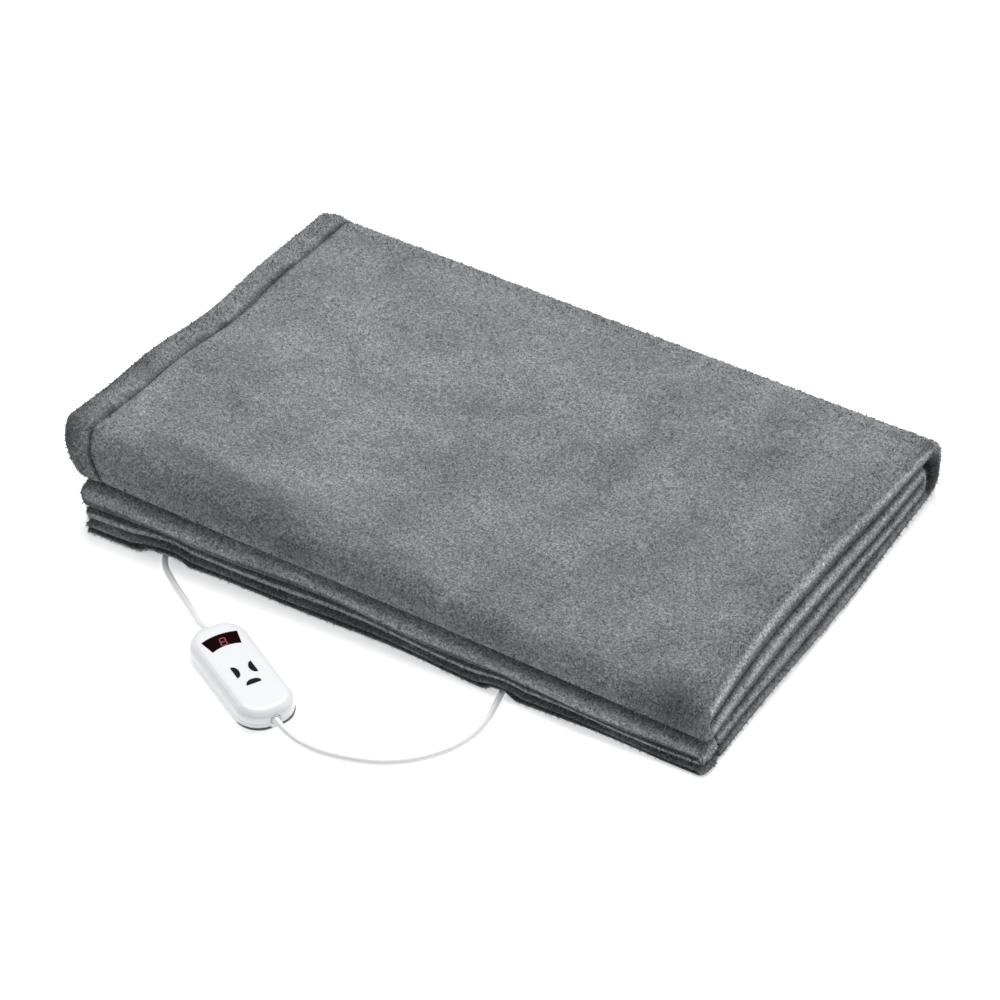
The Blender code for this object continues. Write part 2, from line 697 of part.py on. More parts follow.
def make_buttons(parent):
    under = CASE_HEIGHT - CASE_WALL - GAP
    switch_top = board_height() + BOARD_THICK + GAP + SWITCH_HEIGHT
    for name, place in button_places().items():
        cap = prism(
            button_outline(place, GAP), under - FLANGE_LAP, CASE_HEIGHT + BUTTON_PROUD
        )
        button = add_part(name, cap, BLACK, 0.45, parent=parent)
        flange = prism(button_outline(place, -FLANGE), under - FLANGE, under)
        combine(button, add_cutter(name + "_flange", flange, parent), "UNION")
        x, y, way = place
        x += math.cos(way) * BUTTON_DEPTH / 2
        y += math.sin(way) * BUTTON_DEPTH / 2
        stem_low = switch_top + BUTTON_TRAVEL + GAP
        stem = cylinder(
            BUTTON_STEM_RADIUS, (x, y, stem_low), (x, y, under - FLANGE / 2), 10
        )
        combine(button, add_cutter(name + "_stem", stem, parent), "UNION")
        switch_low = switch_top - SWITCH_HEIGHT
        body = box(SWITCH_SIZE, (x, y, switch_low + SWITCH_SIZE[2] / 2))
        switch = add_part(
            name.replace("button", "switch"), body, (0.10, 0.10, 0.11), 0.5, parent=parent
        )
        dome = cylinder(
            SWITCH_DOME_RADIUS, (x, y, switch_low + SWITCH_SIZE[2] / 2), (x, y, switch_top), 10
        )
        combine(switch, add_cutter(name + "_switch_dome", dome, parent), "UNION")


def make_electronics(parent):
    low = board_height()
    inset = CASE_WALL + BOARD_CLEARANCE
    bm = box(
        (CASE_LENGTH - 2 * inset, CASE_WIDTH - 2 * inset, BOARD_THICK),
        (0, 0, low + BOARD_THICK / 2),
    )
    round_edges(bm, (0, 0, 1), CASE_CORNER - inset, 3)
    board = add_part("circuit_board", bm, (0.05, 0.22, 0.09), 0.5, parent=parent)
    holes = merge(*(
        cylinder(
            SCREW_RADIUS + GAP, (x, y, low - OVERCUT), (x, y, low + BOARD_THICK + OVERCUT), 8
        )
        for x, y in post_places()
    ))
    combine(board, add_cutter("board_holes", holes, parent))
    top = low + BOARD_THICK + GAP

    def add_block(name, size, place, colour, roughness=0.5):
        centre = (*place, top + size[2] / 2)
        add_part(name, box(size, centre), colour, roughness, parent=parent)

    def add_can(name, radius, span, y, colour, roughness):
        height = top + radius
        can = cylinder(radius, (span[0], y, height), (span[1], y, height), 12)
        add_part(name, can, colour, roughness, parent=parent, smooth=True)

    add_block("display_module", DISPLAY_SIZE, (WINDOW_X, 0), (0.75, 0.75, 0.75))
    add_block("controller_chip", CHIP_SIZE, CHIP_PLACE, BLACK)
    add_block("heater_triac", TRIAC_SIZE, TRIAC_PLACE, BLACK)
    add_can("supply_capacitor", CAPACITOR_RADIUS, CAPACITOR_SPAN, CAPACITOR_Y,
            (0.04, 0.06, 0.16), 0.35)
    add_can("fuse", FUSE_RADIUS, FUSE_SPAN, FUSE_Y, (0.8, 0.8, 0.82), 0.2)


def end_wall_depth(height):
    """How far in the case's end wall reaches at a height, where the crown curves over."""
    above = max(0.0, height - (CASE_HEIGHT - CASE_CROWN))
    return CASE_CROWN - math.sqrt((CASE_CROWN - CASE_WALL) ** 2 - above ** 2)


def make_grommet(name, sign, parent):
    """A flanged bush in the case's port, round the cord."""
    outside = sign * CASE_LENGTH / 2
    body = CORD_RADIUS + GROMMET_WALL
    grommet = add_part(name, cylinder(
        body, (outside - sign * GROMMET_LENGTH, 0, PORT_HEIGHT), (outside, 0, PORT_HEIGHT), 12
    ), WHITE, 0.5, parent=parent, smooth=True)
    inner = outside - sign * (end_wall_depth(PORT_HEIGHT + body + GROMMET_COLLAR) + GAP)
    collar = cylinder(
        body + GROMMET_COLLAR, (inner - sign * GROMMET_COLLAR_THICK, 0, PORT_HEIGHT),
        (inner, 0, PORT_HEIGHT), 12,
    )
    combine(grommet, add_cutter(name + "_collar", collar, parent), "UNION")
    bore = cylinder(
        CORD_RADIUS + GAP, (outside - sign * (GROMMET_LENGTH + OVERCUT), 0, PORT_HEIGHT),
        (outside + sign * OVERCUT, 0, PORT_HEIGHT), 12,
    )
    combine(grommet, add_cutter(name + "_bore", bore, parent))


def make_controller():
    centre = bpy.data.objects.new("controller", None)
    centre.location = (*CASE_CENTRE, 0.0)
    centre.rotation_euler = (0, 0, CASE_TURN)
    parts.objects.link(centre)
    make_case(centre)
    make_window(centre)
    make_buttons(centre)
    make_electronics(centre)
    make_grommet("lead_grommet", -1, centre)
    make_grommet("mains_grommet", 1, centre)


def case_point(x, z):
    """A point on the controller's long axis, in the model's frame."""
    return Vector((
        CASE_CENTRE[0] + x * math.cos(CASE_TURN), CASE_CENTRE[1] + x * math.sin(CASE_TURN), z
    ))


# ---------------------------------------------------------------- cords

def make_cords():
    end = CASE_LENGTH / 2
    straight = (end - CORD_INSIDE, end - CORD_RADIUS / 3, end + CORD_RADIUS)
    out = [case_point(-x, PORT_HEIGHT) for x in straight]
    middle = SOCKET_HEIGHT / 2
    plug_end = plug_back_y() - 2 * GAP
    into_plug = [
        (SOCKET_X, plug_end - RELIEF_LENGTH - GAP, middle - RELIEF_DROP),
        (SOCKET_X, plug_end, middle),
    ]
    lead = smooth_route([*out, *LEAD_ROUTE, *into_plug], LEAD_STEP)
    add_tube("lead_cord", lead, CORD_RADIUS, WHITE)
    out = [case_point(x, PORT_HEIGHT) for x in straight]
    mains = smooth_route([*out, *MAINS_ROUTE], MAINS_STEP)
    add_tube("mains_cord", mains, CORD_RADIUS, WHITE)
    mains_plug = (MAINS_PLUG_X + 2 * GAP, mains_plug_y(), MAINS_PLUG_HEIGHT / 2)
    tail = smooth_route([*TAIL_ROUTE, mains_plug], TAIL_STEP)
    add_tube("mains_cord_tail", tail, CORD_RADIUS, WHITE)


def hank_outline(grow):
    """A stadium round the hank's runs, grown outwards."""
    radius = HANK_FOLD_RADIUS + CORD_RADIUS + grow
    middle_y = HANK_NEAR_Y + HANK_FOLD_RADIUS
    right = HANK_RIGHT_X - HANK_FOLD_RADIUS - CORD_RADIUS
    outline = []
    for centre_x, start in ((right, -90), (right - HANK_RUN, 90)):
        for k in range(HANK_FOLD_STEPS + 1):
            angle = math.radians(start + 180 * k / HANK_FOLD_STEPS)
            outline.append((
                centre_x + radius * math.cos(angle), middle_y + radius * math.sin(angle)
            ))
    return outline


def make_hank():
    low = TIE_THICK + GAP
    high = low + 2 * CORD_RADIUS * HANK_LAYERS
    add_part("cord_hank", prism(hank_outline(0.0), low, high), WHITE, 0.4)
    middle_x = HANK_RIGHT_X - HANK_FOLD_RADIUS - CORD_RADIUS - HANK_RUN / 2
    middle_y = HANK_NEAR_Y + HANK_FOLD_RADIUS
    inner = 2 * (HANK_FOLD_RADIUS + CORD_RADIUS + GAP)
    outer = inner + 2 * TIE_THICK
    top = high + GAP + TIE_THICK
    tie = add_part("hank_tie", box((TIE_WIDTH, outer, top), (middle_x, middle_y, top / 2)),
                   BLACK, 0.8)
    inside = box(
        (2 * TIE_WIDTH, inner, top - 2 * TIE_THICK), (middle_x, middle_y, top / 2)
    )
    combine(tie, add_cutter("tie_inside", inside))


def mains_plug_y():
    return HANK_NEAR_Y - CORD_RADIUS + MAINS_PLUG_WIDTH / 2


def make_mains_plug():
    """A flat two-pin plug, lying in line with the hank, its pins pointing to -X."""
    y, z = mains_plug_y(), MAINS_PLUG_HEIGHT / 2
    bm = box(
        (MAINS_PLUG_LENGTH, MAINS_PLUG_WIDTH, MAINS_PLUG_HEIGHT),
        (MAINS_PLUG_X - MAINS_PLUG_LENGTH / 2, y, z),
    )
    round_edges(bm, (1, 0, 0), MAINS_PLUG_EDGE, 3)
    body = add_part("mains_plug_body", bm, WHITE, 0.4)
    face = MAINS_PLUG_X - MAINS_PLUG_LENGTH
    sides = (-MAINS_PIN_SPACING / 2, MAINS_PIN_SPACING / 2)
    roots = merge(*(
        cylinder(MAINS_PIN_RADIUS + GAP, (face - OVERCUT, y + dy, z),
                 (face + MAINS_PIN_ROOT, y + dy, z), 12)
        for dy in sides
    ))
    combine(body, add_cutter("mains_pin_roots", roots))
    for k, dy in enumerate(sides, 1):
        add_part(f"mains_pin_{k}", cylinder(
            MAINS_PIN_RADIUS, (face - MAINS_PIN_REACH, y + dy, z),
            (face + MAINS_PIN_ROOT - GAP, y + dy, z), 12,
        ), METAL, 0.2, 1.0, smooth=True)
    make_relief(
        "mains_strain_relief", (MAINS_PLUG_X + GAP, y, z), (MAINS_PLUG_X + RELIEF_LENGTH, y, z)
    )


clear_scene()
parts = new_collection(NAME)
cutters = new_collection("cutters")
make_throw()
make_connector()
make_controller()
make_cords()
make_hank()
make_mains_plug()
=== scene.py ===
import math

import bmesh
import bpy
import numpy as np
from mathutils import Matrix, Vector


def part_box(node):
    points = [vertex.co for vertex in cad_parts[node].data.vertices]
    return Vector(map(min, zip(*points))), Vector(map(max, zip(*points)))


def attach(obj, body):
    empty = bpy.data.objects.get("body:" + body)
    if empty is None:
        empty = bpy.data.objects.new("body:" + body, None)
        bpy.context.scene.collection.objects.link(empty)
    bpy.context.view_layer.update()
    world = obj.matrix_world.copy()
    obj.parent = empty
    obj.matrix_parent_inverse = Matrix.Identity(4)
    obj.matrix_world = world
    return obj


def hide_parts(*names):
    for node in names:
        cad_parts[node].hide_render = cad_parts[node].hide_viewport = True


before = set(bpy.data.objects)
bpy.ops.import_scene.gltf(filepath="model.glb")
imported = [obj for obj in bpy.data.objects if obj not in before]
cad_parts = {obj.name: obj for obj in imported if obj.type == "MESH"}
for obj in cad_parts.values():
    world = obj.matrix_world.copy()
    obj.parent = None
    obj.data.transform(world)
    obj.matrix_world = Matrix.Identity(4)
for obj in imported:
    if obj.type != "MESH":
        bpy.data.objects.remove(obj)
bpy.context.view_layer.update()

# The table top and the light.
# A plain white sweep under a pale sky. A wide soft light above and behind brings out the nap
# of the fleece, and a weak one on the right picks out the rims of the folds.
looked_at = Vector((0.002, -0.021, 0.030))
azimuth, elevation, distance = math.radians(30.4), math.radians(40.9), 6.171
to_camera = Vector((
    math.sin(azimuth) * math.cos(elevation), -math.cos(azimuth) * math.cos(elevation),
    math.sin(elevation),
))
camera = bpy.data.objects.new("camera", bpy.data.cameras.new("camera"))
camera.data.sensor_width = 36.0
camera.data.lens = 243.0
camera.data.clip_end = 50.0
camera.location = looked_at + to_camera * distance
camera.rotation_euler = (-to_camera).to_track_quat("-Z", "Y").to_euler()
bpy.context.scene.collection.objects.link(camera)
bpy.context.scene.camera = camera
bpy.context.scene.view_settings.view_transform = "Standard"

world = bpy.data.worlds.new("studio")
world.use_nodes = True
sky = world.node_tree.nodes["Background"]
sky.inputs["Color"].default_value = (0.97, 0.985, 1.0, 1.0)
sky.inputs["Strength"].default_value = 0.42
bpy.context.scene.world = world


def soft_light(name, place, aim, size, power):
    """A round soft lamp at a place, aimed at another."""
    lamp = bpy.data.objects.new(name, bpy.data.lights.new(name, "AREA"))
    lamp.data.shape = "DISK"
    lamp.data.size = size
    lamp.data.energy = power
    lamp.location = place
    lamp.rotation_euler = (Vector(place) - Vector(aim)).to_track_quat("Z", "Y").to_euler()
    bpy.context.scene.collection.objects.link(lamp)


soft_light("overhead", (-0.4, 0.7, 2.6), (0, 0, 0), 1.9, 92.0)
soft_light("right_rim", (2.2, 0.9, 0.9), (0.1, 0, 0), 1.0, 10.0)

FLOOR_REACH = 40.0
FLOOR_LEVEL = -0.0004        # just under the case and the throw
floor_mesh = bpy.data.meshes.new("floor")
sweep = bmesh.new()
bmesh.ops.create_grid(sweep, x_segments=1, y_segments=1, size=FLOOR_REACH)
sweep.to_mesh(floor_mesh)
sweep.free()
floor = bpy.data.objects.new("floor", floor_mesh)
bpy.context.scene.collection.objects.link(floor)
floor.location.z = FLOOR_LEVEL
paper = bpy.data.materials.new("white_paper")
paper.use_nodes = True
paper_face = paper.node_tree.nodes["Principled BSDF"]
paper_face.inputs["Base Color"].default_value = (0.96, 0.96, 0.96, 1)
paper_face.inputs["Roughness"].default_value = 0.9
paper_face.inputs["Emission Color"].default_value = (1, 1, 1, 1)
paper_face.inputs["Emission Strength"].default_value = 0.46
floor.data.materials.append(paper)


# The throw.
# Two plies of short plush polyester fleece, turned in and sewn in a hem 27 mm wide all round.
# It is folded in half across, with the fold on the right, then in four along, so that the two
# free hems meet at the front, under the fold of the top layer.
LEFT_X, LIP_X = -0.3265, 0.3200
FREE_END_Y, FRONT_FOLD_Y = -0.222, -0.191
INNER_BACK_Y, OUTER_BACK_Y = 0.188, 0.2023
PITCH, SHEET_THICK = 0.0070, 0.0064
STACK = 8 * PITCH - (PITCH - SHEET_THICK)
DEPTH = 0.452                # of the pile, from its front to its back
FRONT_HIGH = (0.110, 0.055)  # height of the pile at the left and right of its front
REAR_HIGH = (0.070, 0.062)
HEM_WIDTH = 0.0272
RIM = 0.0045                 # how far in the sheet's rounded rim reaches
ROW_GAP = 0.018              # between the mesh's rows, away from the hems
COLUMN_GAP, UNDER_GAP = 0.0050, 0.0160
LOWER, INNER_TURN, MIDDLE, FRONT_TURN, UPPER, OUTER_TURN, BOTTOM = range(7)
socket_low, socket_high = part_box("socket_housing")
relief_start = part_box("connector_strain_relief")[0]
CORD_CHANNEL = 0.0066        # height of the hollow that a cord presses in the underside
CLEAR = 0.0006               # between the cloth and the ends of the connector


def ease(value, low, high):
    """From 0 at low to 1 at high, level at both ends."""
    t = np.clip((value - low) / (high - low), 0.0, 1.0)
    return t * t * (3 - 2 * t)


def hump(value, centre, flat, ramp):
    """1 within flat of the centre, and down to 0 over the ramp on each side of it."""
    return 1.0 - ease(np.abs(value - centre), flat, flat + ramp)


def underside(x, y):
    """The throw lies flat but where the cords and the connector lift it."""
    mains = CORD_CHANNEL * hump(x, 0.119, 0.0052, 0.013)
    bend = CORD_CHANNEL * hump(x, 0.0915, 0.0315, 0.012) * ease(y, 0.176, 0.188)
    lead = CORD_CHANNEL * ease(y, -0.260, -0.225)
    front, rear = relief_start[1] - CLEAR, socket_high[1] + CLEAR
    roof = socket_high[2] + 0.0004
    lead = lead + (roof - lead) * ease(y, front - 0.014, front - 0.001)
    lead = lead * (1 - ease(y, rear, rear + 0.014))
    lead = lead * hump(x, (socket_low[0] + socket_high[0]) / 2, 0.0133, 0.014)
    return np.maximum(np.maximum(mains, bend), lead)


def top_height(x, y):
    """The pile is fullest at the front left, where the cloth is folded most loosely."""
    across = (x - LEFT_X) / (LIP_X - LEFT_X)
    along = (y - FREE_END_Y) / (OUTER_BACK_Y - FREE_END_Y)
    front = FRONT_HIGH[0] + (FRONT_HIGH[1] - FRONT_HIGH[0]) * across
    rear = REAR_HIGH[0] + (REAR_HIGH[1] - REAR_HIGH[0]) * across
    return front + (rear - front) * along


def from_edge(length, coarse):
    """Distances in from a hemmed edge: close at the rim and the seam, then coarse."""
    near = [0, 0.0003, 0.0009, 0.0018, 0.0030, RIM, 0.0075, 0.0115, 0.0155, 0.0195, 0.0235]
    seam = [HEM_WIDTH + d for d in (-0.0022, -0.0012, -0.0005, 0.0, 0.0005, 0.0012, 0.0022)]
    start = HEM_WIDTH + 0.0055
    count = max(1, round((length - start) / coarse))
    rest = [start + (length - start) * k / count for k in range(count + 1)]
    return near + seam + rest


def strip_rows():
    """Rows along the strip: y, height, heading and which run or turn they are in."""
    rows = []

    def run(level, ys, heading, part):
        rows.extend((y, level * PITCH, heading, part) for y in ys)

    def turn(centre_y, level, radius, start, sweep, steps, part):
        side = 1 if sweep > 0 else -1
        for k in range(1, steps):
            heading = start + sweep * k / steps
            rows.append((
                centre_y + side * radius * math.sin(heading),
                level * PITCH - side * radius * math.cos(heading), heading, part,
            ))

    lower = [FREE_END_Y + d for d in from_edge(INNER_BACK_Y - FREE_END_Y, ROW_GAP)]
    bottom = [FREE_END_Y + d for d in from_edge(OUTER_BACK_Y - FREE_END_Y, ROW_GAP)]
    run(3, lower, 0.0, LOWER)
    turn(INNER_BACK_Y, 4, PITCH, 0.0, math.pi, 10, INNER_TURN)
    run(5, np.linspace(INNER_BACK_Y, FRONT_FOLD_Y, 22), math.pi, MIDDLE)
    turn(FRONT_FOLD_Y, 6, PITCH, math.pi, -math.pi, 18, FRONT_TURN)
    run(7, np.linspace(FRONT_FOLD_Y, OUTER_BACK_Y, 80), 0.0, UPPER)
    turn(OUTER_BACK_Y, 4, 3 * PITCH, 0.0, -math.pi, 26, OUTER_TURN)
    run(1, bottom[::-1], -math.pi, BOTTOM)
    return np.array(rows)


def sheet_columns():
    """Columns across the sheet: x, angle round the right-hand fold, distance from the hem."""
    width = LIP_X - LEFT_X
    over = [(LEFT_X + d, 0.0, d) for d in from_edge(width, COLUMN_GAP)]
    lip = [(LIP_X, math.pi * k / 12, width) for k in range(1, 12)]
    under = [(LEFT_X + d, math.pi, d) for d in from_edge(width, UNDER_GAP)[::-1]]
    return np.array(over + lip + under)


def folded(rows, columns, offset):
    """Points of the flat sheet, offset from its middle, in the neat folded stack."""
    y, z, heading = (rows[:, k][:, None] for k in range(3))
    x, lip = (columns[:, k][None, :] for k in range(2))
    reach = PITCH / 2 + offset
    out = reach * np.cos(lip)
    return (
        x + reach * np.sin(lip) + 0 * y, y - np.sin(heading) * out,
        z + np.cos(heading) * out - (PITCH - SHEET_THICK) / 2,
    )


def settled(x, y, z, rows, columns):
    """Let the neat stack sag into the slack, uneven pile that cloth makes."""
    part = rows[:, 3][:, None] + 0 * x
    over = (np.cos(columns[:, 1]) > 0)[None, :]
    free = (part == LOWER) | (part == BOTTOM)
    to_end = np.where(free, y - FREE_END_Y, 1.0)
    level = np.clip(z / STACK, 0.0, 1.0)
    sink = z / STACK - level
    along = np.clip((y - FREE_END_Y) / DEPTH, 0, 1)
    # At the front the two lower layers are pressed flat and the sheet above them puffs out,
    # and curls down over them at its hem.
    near_end = 1 - ease(y, FREE_END_Y, FREE_END_Y + 0.085)
    pressed = np.interp(8 * level, (0, 1, 2, 3, 4, 8), (0, 0.56, 1.10, 2.22, 3.95, 8)) / 8
    level = level + near_end * np.where(free, pressed - level, 0)
    curl = (1 - ease(to_end, 0.0, 0.017)) * (part == LOWER) * over
    sink = sink - 0.0010 / STACK * curl ** 1.5
    loose = 1 - ease(to_end, 0.0, 0.06)
    y = y + loose * np.where(part == LOWER, np.where(over, 0.0006, 0.0030), 0.0)
    y = y + loose * free * 0.0016 * np.sin(31 * x + 1.0 + 9 * level)
    y = y + loose * free * 0.0065 * np.exp(-((x + 0.08) / 0.14) ** 2)
    # The right-hand fold of each layer bows in, the top one most.
    right = ease(x, 0.0, 0.30)
    bow = np.sin(math.pi * along ** 0.75)
    x = x + right * bow * (0.003 - 0.0225 * level ** 2.2)
    x = x + right * 0.0012 * np.sin(23 * y + 9 * level) * (1 - level)
    # The left-hand hems fan out: the lowest is drawn in, and the front fold hangs out most.
    left = 1 - ease(x, -0.32, -0.10)
    fan = 0.0105 + 0.0165 * (1 - ease(y, -0.24, 0.10)) - 0.003 * hump(y, -0.212, 0.0, 0.02)
    x = x + left * (0.009 - (0.009 + fan) * level ** 1.8)
    x = x + left * level * 0.0016 * np.sin(38 * y + 0.7)
    # The front fold is fat and soft, fattest on the left.
    fat = hump(level, 0.72, 0.10, 0.24) * (1 - ease(y, -0.215, -0.13)) * (part > INNER_TURN)
    y = y - fat * (0.0100 + 0.0035 * (1 - ease(x, -0.30, 0.10)))
    sink = sink - 0.030 * fat * hump(level, 0.62, 0.04, 0.16)
    # The outer back fold stands a little proud at the top.
    y = y + 0.0065 * ease(level, 0.35, 0.85) * ease(y, 0.08, 0.20)
    low = underside(x, y) * (1 - ease(level, 0.0, 0.45))
    height = top_height(x, y)
    slack = 0.0017 * np.sin(13 * x + 4.0 * y + 0.6) * np.sin(11 * y - 5 * x + 1.1)
    slack = slack + 0.0009 * np.sin(41 * x - 17 * y) * np.sin(29 * y + 13 * x)
    slack = slack - 0.0022 * hump(x, -0.283, 0.004, 0.035)
    height = height + slack * ease(y, -0.20, -0.12) * (1 - ease(y, 0.12, 0.21))
    z = low + (level + sink) * (height - low)
    return np.stack([x, y, np.maximum(z, 0.0)], axis=-1)


def painted_light_and_tone(rows, columns, places, outside):
    """Painted light on the sheet: painted shade in the folds and low down, painted highlights
    along the rims, and clouds of tone.
    """
    x, y, z = (places[..., k] for k in range(3))
    part = rows[:, 3][:, None] + 0 * x
    lip = columns[:, 1][None, :] + 0 * x
    over = np.cos(lip) > 0
    from_hem = columns[:, 2][None, :] + 0 * x
    to_end = np.where((part == LOWER) | (part == BOTTOM), rows[:, 0][:, None] - FREE_END_Y, 1.0)
    shade = np.ones_like(x)
    # painted shade on the inner layers, hidden in the gaps between the folds
    hidden = np.isin(part, (LOWER, MIDDLE, BOTTOM, INNER_TURN)) & (to_end > 0.030)
    shade = np.where(hidden, 0.34, shade)
    # painted shade on the lowest layer but for a painted highlight on its rim, and pale painted
    # light on the one above it
    shade = np.where((part == BOTTOM) & (to_end <= 0.030),
                     1.10 - 0.45 * ease(x, -0.30, -0.20) + 0.10 * np.sin(60 * x), shade)
    shade = np.where((part == LOWER) & ~over & (to_end <= 0.030), 1.50, shade)
    shade = np.where((part == LOWER) & over & (to_end <= 0.030),
                     1.28 + 0.25 * (1 - ease(to_end, 0.002, 0.012)), shade)
    rim = 1 - ease(to_end, 0.0005, 0.0025)
    shade = shade + rim * (part == BOTTOM) * over * 0.75
    # painted shade along the front fold, uneven along it
    front = ease(-y, 0.150, 0.205)
    wander = 0.5 + 0.5 * np.sin(17 * x + 2.2 * np.sin(9 * x) + 0.4)
    shade = shade * np.where((part == UPPER) | (part == FRONT_TURN),
                             1 - front * (0.03 + 0.16 * wander * (x < 0.05)), 1)
    shade = shade * np.where(part == FRONT_TURN, 0.96, 1)
    # the right-hand folds: painted highlights on their upper shoulders, painted shade underneath
    fold = (lip > 0.02) & (lip < math.pi - 0.02)
    upward = np.cos(lip) * np.cos(rows[:, 2])[:, None]
    highlight = np.select([part == UPPER, part == MIDDLE, part == LOWER], [3.4, 2.6, 1.5], 0.5)
    highlight = highlight * (0.75 + 0.25 * np.sin(21 * y + 4 * rows[:, 2][:, None]))
    pale = 0.86 + highlight * np.exp(-((upward - 0.40) / 0.24) ** 2)
    pale = np.where(upward < -0.10, 0.40, pale)
    shade = np.where(fold & (part != FRONT_TURN), pale, shade)
    # painted shade inside the outer back turn and low down
    shade = np.where((part == OUTER_TURN) & ~over, 0.30, shade)
    # the painted shade of the lower layers fades at their left ends, which stand out pale against
    # the gaps
    end = 1 - ease(from_hem, 0.0, 0.010)
    lower = (part == LOWER) | (part == BOTTOM) | (part == MIDDLE)
    shade = np.where(lower & (end > 0), shade + (1.05 - shade) * end, shade)
    # painted shade where the hem rolls under at the left, darkest towards the front
    edge = 1 - ease(from_hem, 0.0, 0.020)
    shade = shade * (1 - 0.42 * edge * (part >= FRONT_TURN) * (1 - ease(y, -0.16, 0.06)))
    # painted shade in the groove along the seam
    broad = 0.0023 + 0.0011 * np.sin(95 * y + 3.0 * np.sin(41 * y))
    groove = np.exp(-((np.minimum(from_hem, to_end) - HEM_WIDTH) / broad) ** 2)
    shade = shade * (1 - (0.72 + 0.16 * np.sin(67 * y + 1.0)) * groove)
    # broad clouds on the top and the front: middle, half width, half depth, change of shade
    for spot_x, spot_y, wide, deep, change in (
        (-0.235, -0.178, 0.045, 0.018, -0.36), (-0.150, -0.188, 0.060, 0.014, -0.32),
        (-0.060, -0.180, 0.050, 0.014, -0.16), (0.115, -0.150, 0.050, 0.020, -0.12),
        (0.285, -0.200, 0.036, 0.030, -0.56), (-0.343, -0.190, 0.012, 0.022, -0.35),
        (-0.340, -0.100, 0.014, 0.030, -0.28), (-0.302, -0.120, 0.010, 0.120, 0.14),
        (-0.225, 0.010, 0.050, 0.110, 0.10), (-0.120, 0.000, 0.040, 0.100, 0.08),
        (-0.268, 0.050, 0.014, 0.090, -0.10), (-0.225, 0.175, 0.012, 0.040, -0.14),
        (0.250, 0.030, 0.060, 0.100, -0.05), (0.180, -0.080, 0.040, 0.050, -0.08),
    ):
        soft = np.exp(-((x - spot_x) / wide) ** 2 - ((y - spot_y) / deep) ** 2)
        shade = shade * np.where((part == UPPER) | (part == FRONT_TURN), 1 + change * soft, 1)
    # the rear ply, inside the sheet, takes an even painted shade
    return np.clip(shade, 0.15, 2.0) if outside else np.full_like(x, 0.40)


def sheet_faces():
    """Both faces of the closed sheet, folded and settled, with their painted shade, painted
    highlights and tone.
    """
    rows, columns = strip_rows(), sheet_columns()
    free = (rows[:, 3] == LOWER) | (rows[:, 3] == BOTTOM)
    to_end = np.where(free, rows[:, 0] - FREE_END_Y, 1.0)[:, None]
    nearest = np.minimum(columns[:, 2][None, :], to_end)
    rim = np.clip(nearest / RIM, 0, 1)
    half = SHEET_THICK / 2 * np.sqrt(np.clip(1 - (1 - rim) ** 2, 0, 1))
    groove = 1 - 0.72 * np.exp(-((nearest - HEM_WIDTH) / 0.0017) ** 2)
    plump = 1 + 0.34 * ease(nearest, 0.004, 0.010) * (1 - ease(nearest, 0.018, HEM_WIDTH))
    faces = []
    for offset, outside in ((half * groove * plump, True), (-half, False)):
        x, y, z = folded(rows, columns, offset)
        places = settled(x, y, z, rows, columns)
        faces.append((places, painted_light_and_tone(rows, columns, places, outside)))
    return faces


def add_mesh(name, places, polygons, shade=None):
    """A mesh piece, with its painted shade, painted highlights and tone at each point where it is
    given.
    """
    mesh = bpy.data.meshes.new(name)
    mesh.from_pydata(places, [], polygons)
    mesh.update()
    if shade is not None:
        painted_shade_and_tone = mesh.attributes.new("painted_shade_and_tone", "FLOAT", "POINT")
        painted_shade_and_tone.data.foreach_set("value", np.asarray(shade, dtype=np.float32).ravel())
    piece = bpy.data.objects.new(name, mesh)
    bpy.context.scene.collection.objects.link(piece)
    return piece


def closed_sheet(name):
    """Join the two faces of the sheet along its rims, where they meet."""
    (face, face_shade), (rear, rear_shade) = sheet_faces()
    rows, columns = face.shape[:2]
    number = np.arange(rows * columns).reshape(rows, columns)
    other = number.copy()
    inside = (slice(1, rows - 1), slice(1, columns - 1))
    other[inside] = rows * columns + np.arange((rows - 2) * (columns - 2)).reshape(
        rows - 2, columns - 2
    )
    places = face.reshape(-1, 3).tolist() + rear[inside].reshape(-1, 3).tolist()
    shade = np.concatenate([face_shade.ravel(), rear_shade[inside].ravel()])

    def quads(n, flip):
        a, b, c, d = n[:-1, :-1], n[:-1, 1:], n[1:, 1:], n[1:, :-1]
        order = (a, d, c, b) if flip else (a, b, c, d)
        return np.stack([q.ravel() for q in order], axis=-1).tolist()

    sheet = add_mesh(name, places, quads(number, False) + quads(other, True), shade)
    sheet.data.shade_smooth()
    return sheet


def add_node(nodes, kind, **settings):
    """A shader node, with its properties or its sockets set by name."""
    node = nodes.new(kind)
    for key, value in settings.items():
        if key in node.bl_rna.properties:
            setattr(node, key, value)
        else:
            node.inputs[key.replace("_", " ")].default_value = value
    return node


def ramp_of(nodes, stops):
    """A colour ramp through stops of place and colour."""
    ramp = nodes.new("ShaderNodeValToRGB")
    ramp.color_ramp.elements[0].position = stops[0][0]
    ramp.color_ramp.elements[0].color = (*stops[0][1], 1)
    ramp.color_ramp.elements[1].position = stops[-1][0]
    ramp.color_ramp.elements[1].color = (*stops[-1][1], 1)
    for place, colour in stops[1:-1]:
        ramp.color_ramp.elements.new(place).color = (*colour, 1)
    return ramp


def multiply(nodes, links, first, second):
    """The product of two colours."""
    mix = add_node(nodes, "ShaderNodeMix", data_type="RGBA", blend_type="MULTIPLY")
    mix.inputs["Factor"].default_value = 1.0
    links.new(first, mix.inputs["A"])
    links.new(second, mix.inputs["B"])
    return mix.outputs["Result"]


def grey(value):
    """A neutral grey that leans a little blue."""
    return (value * 0.965, value, value * 1.035)


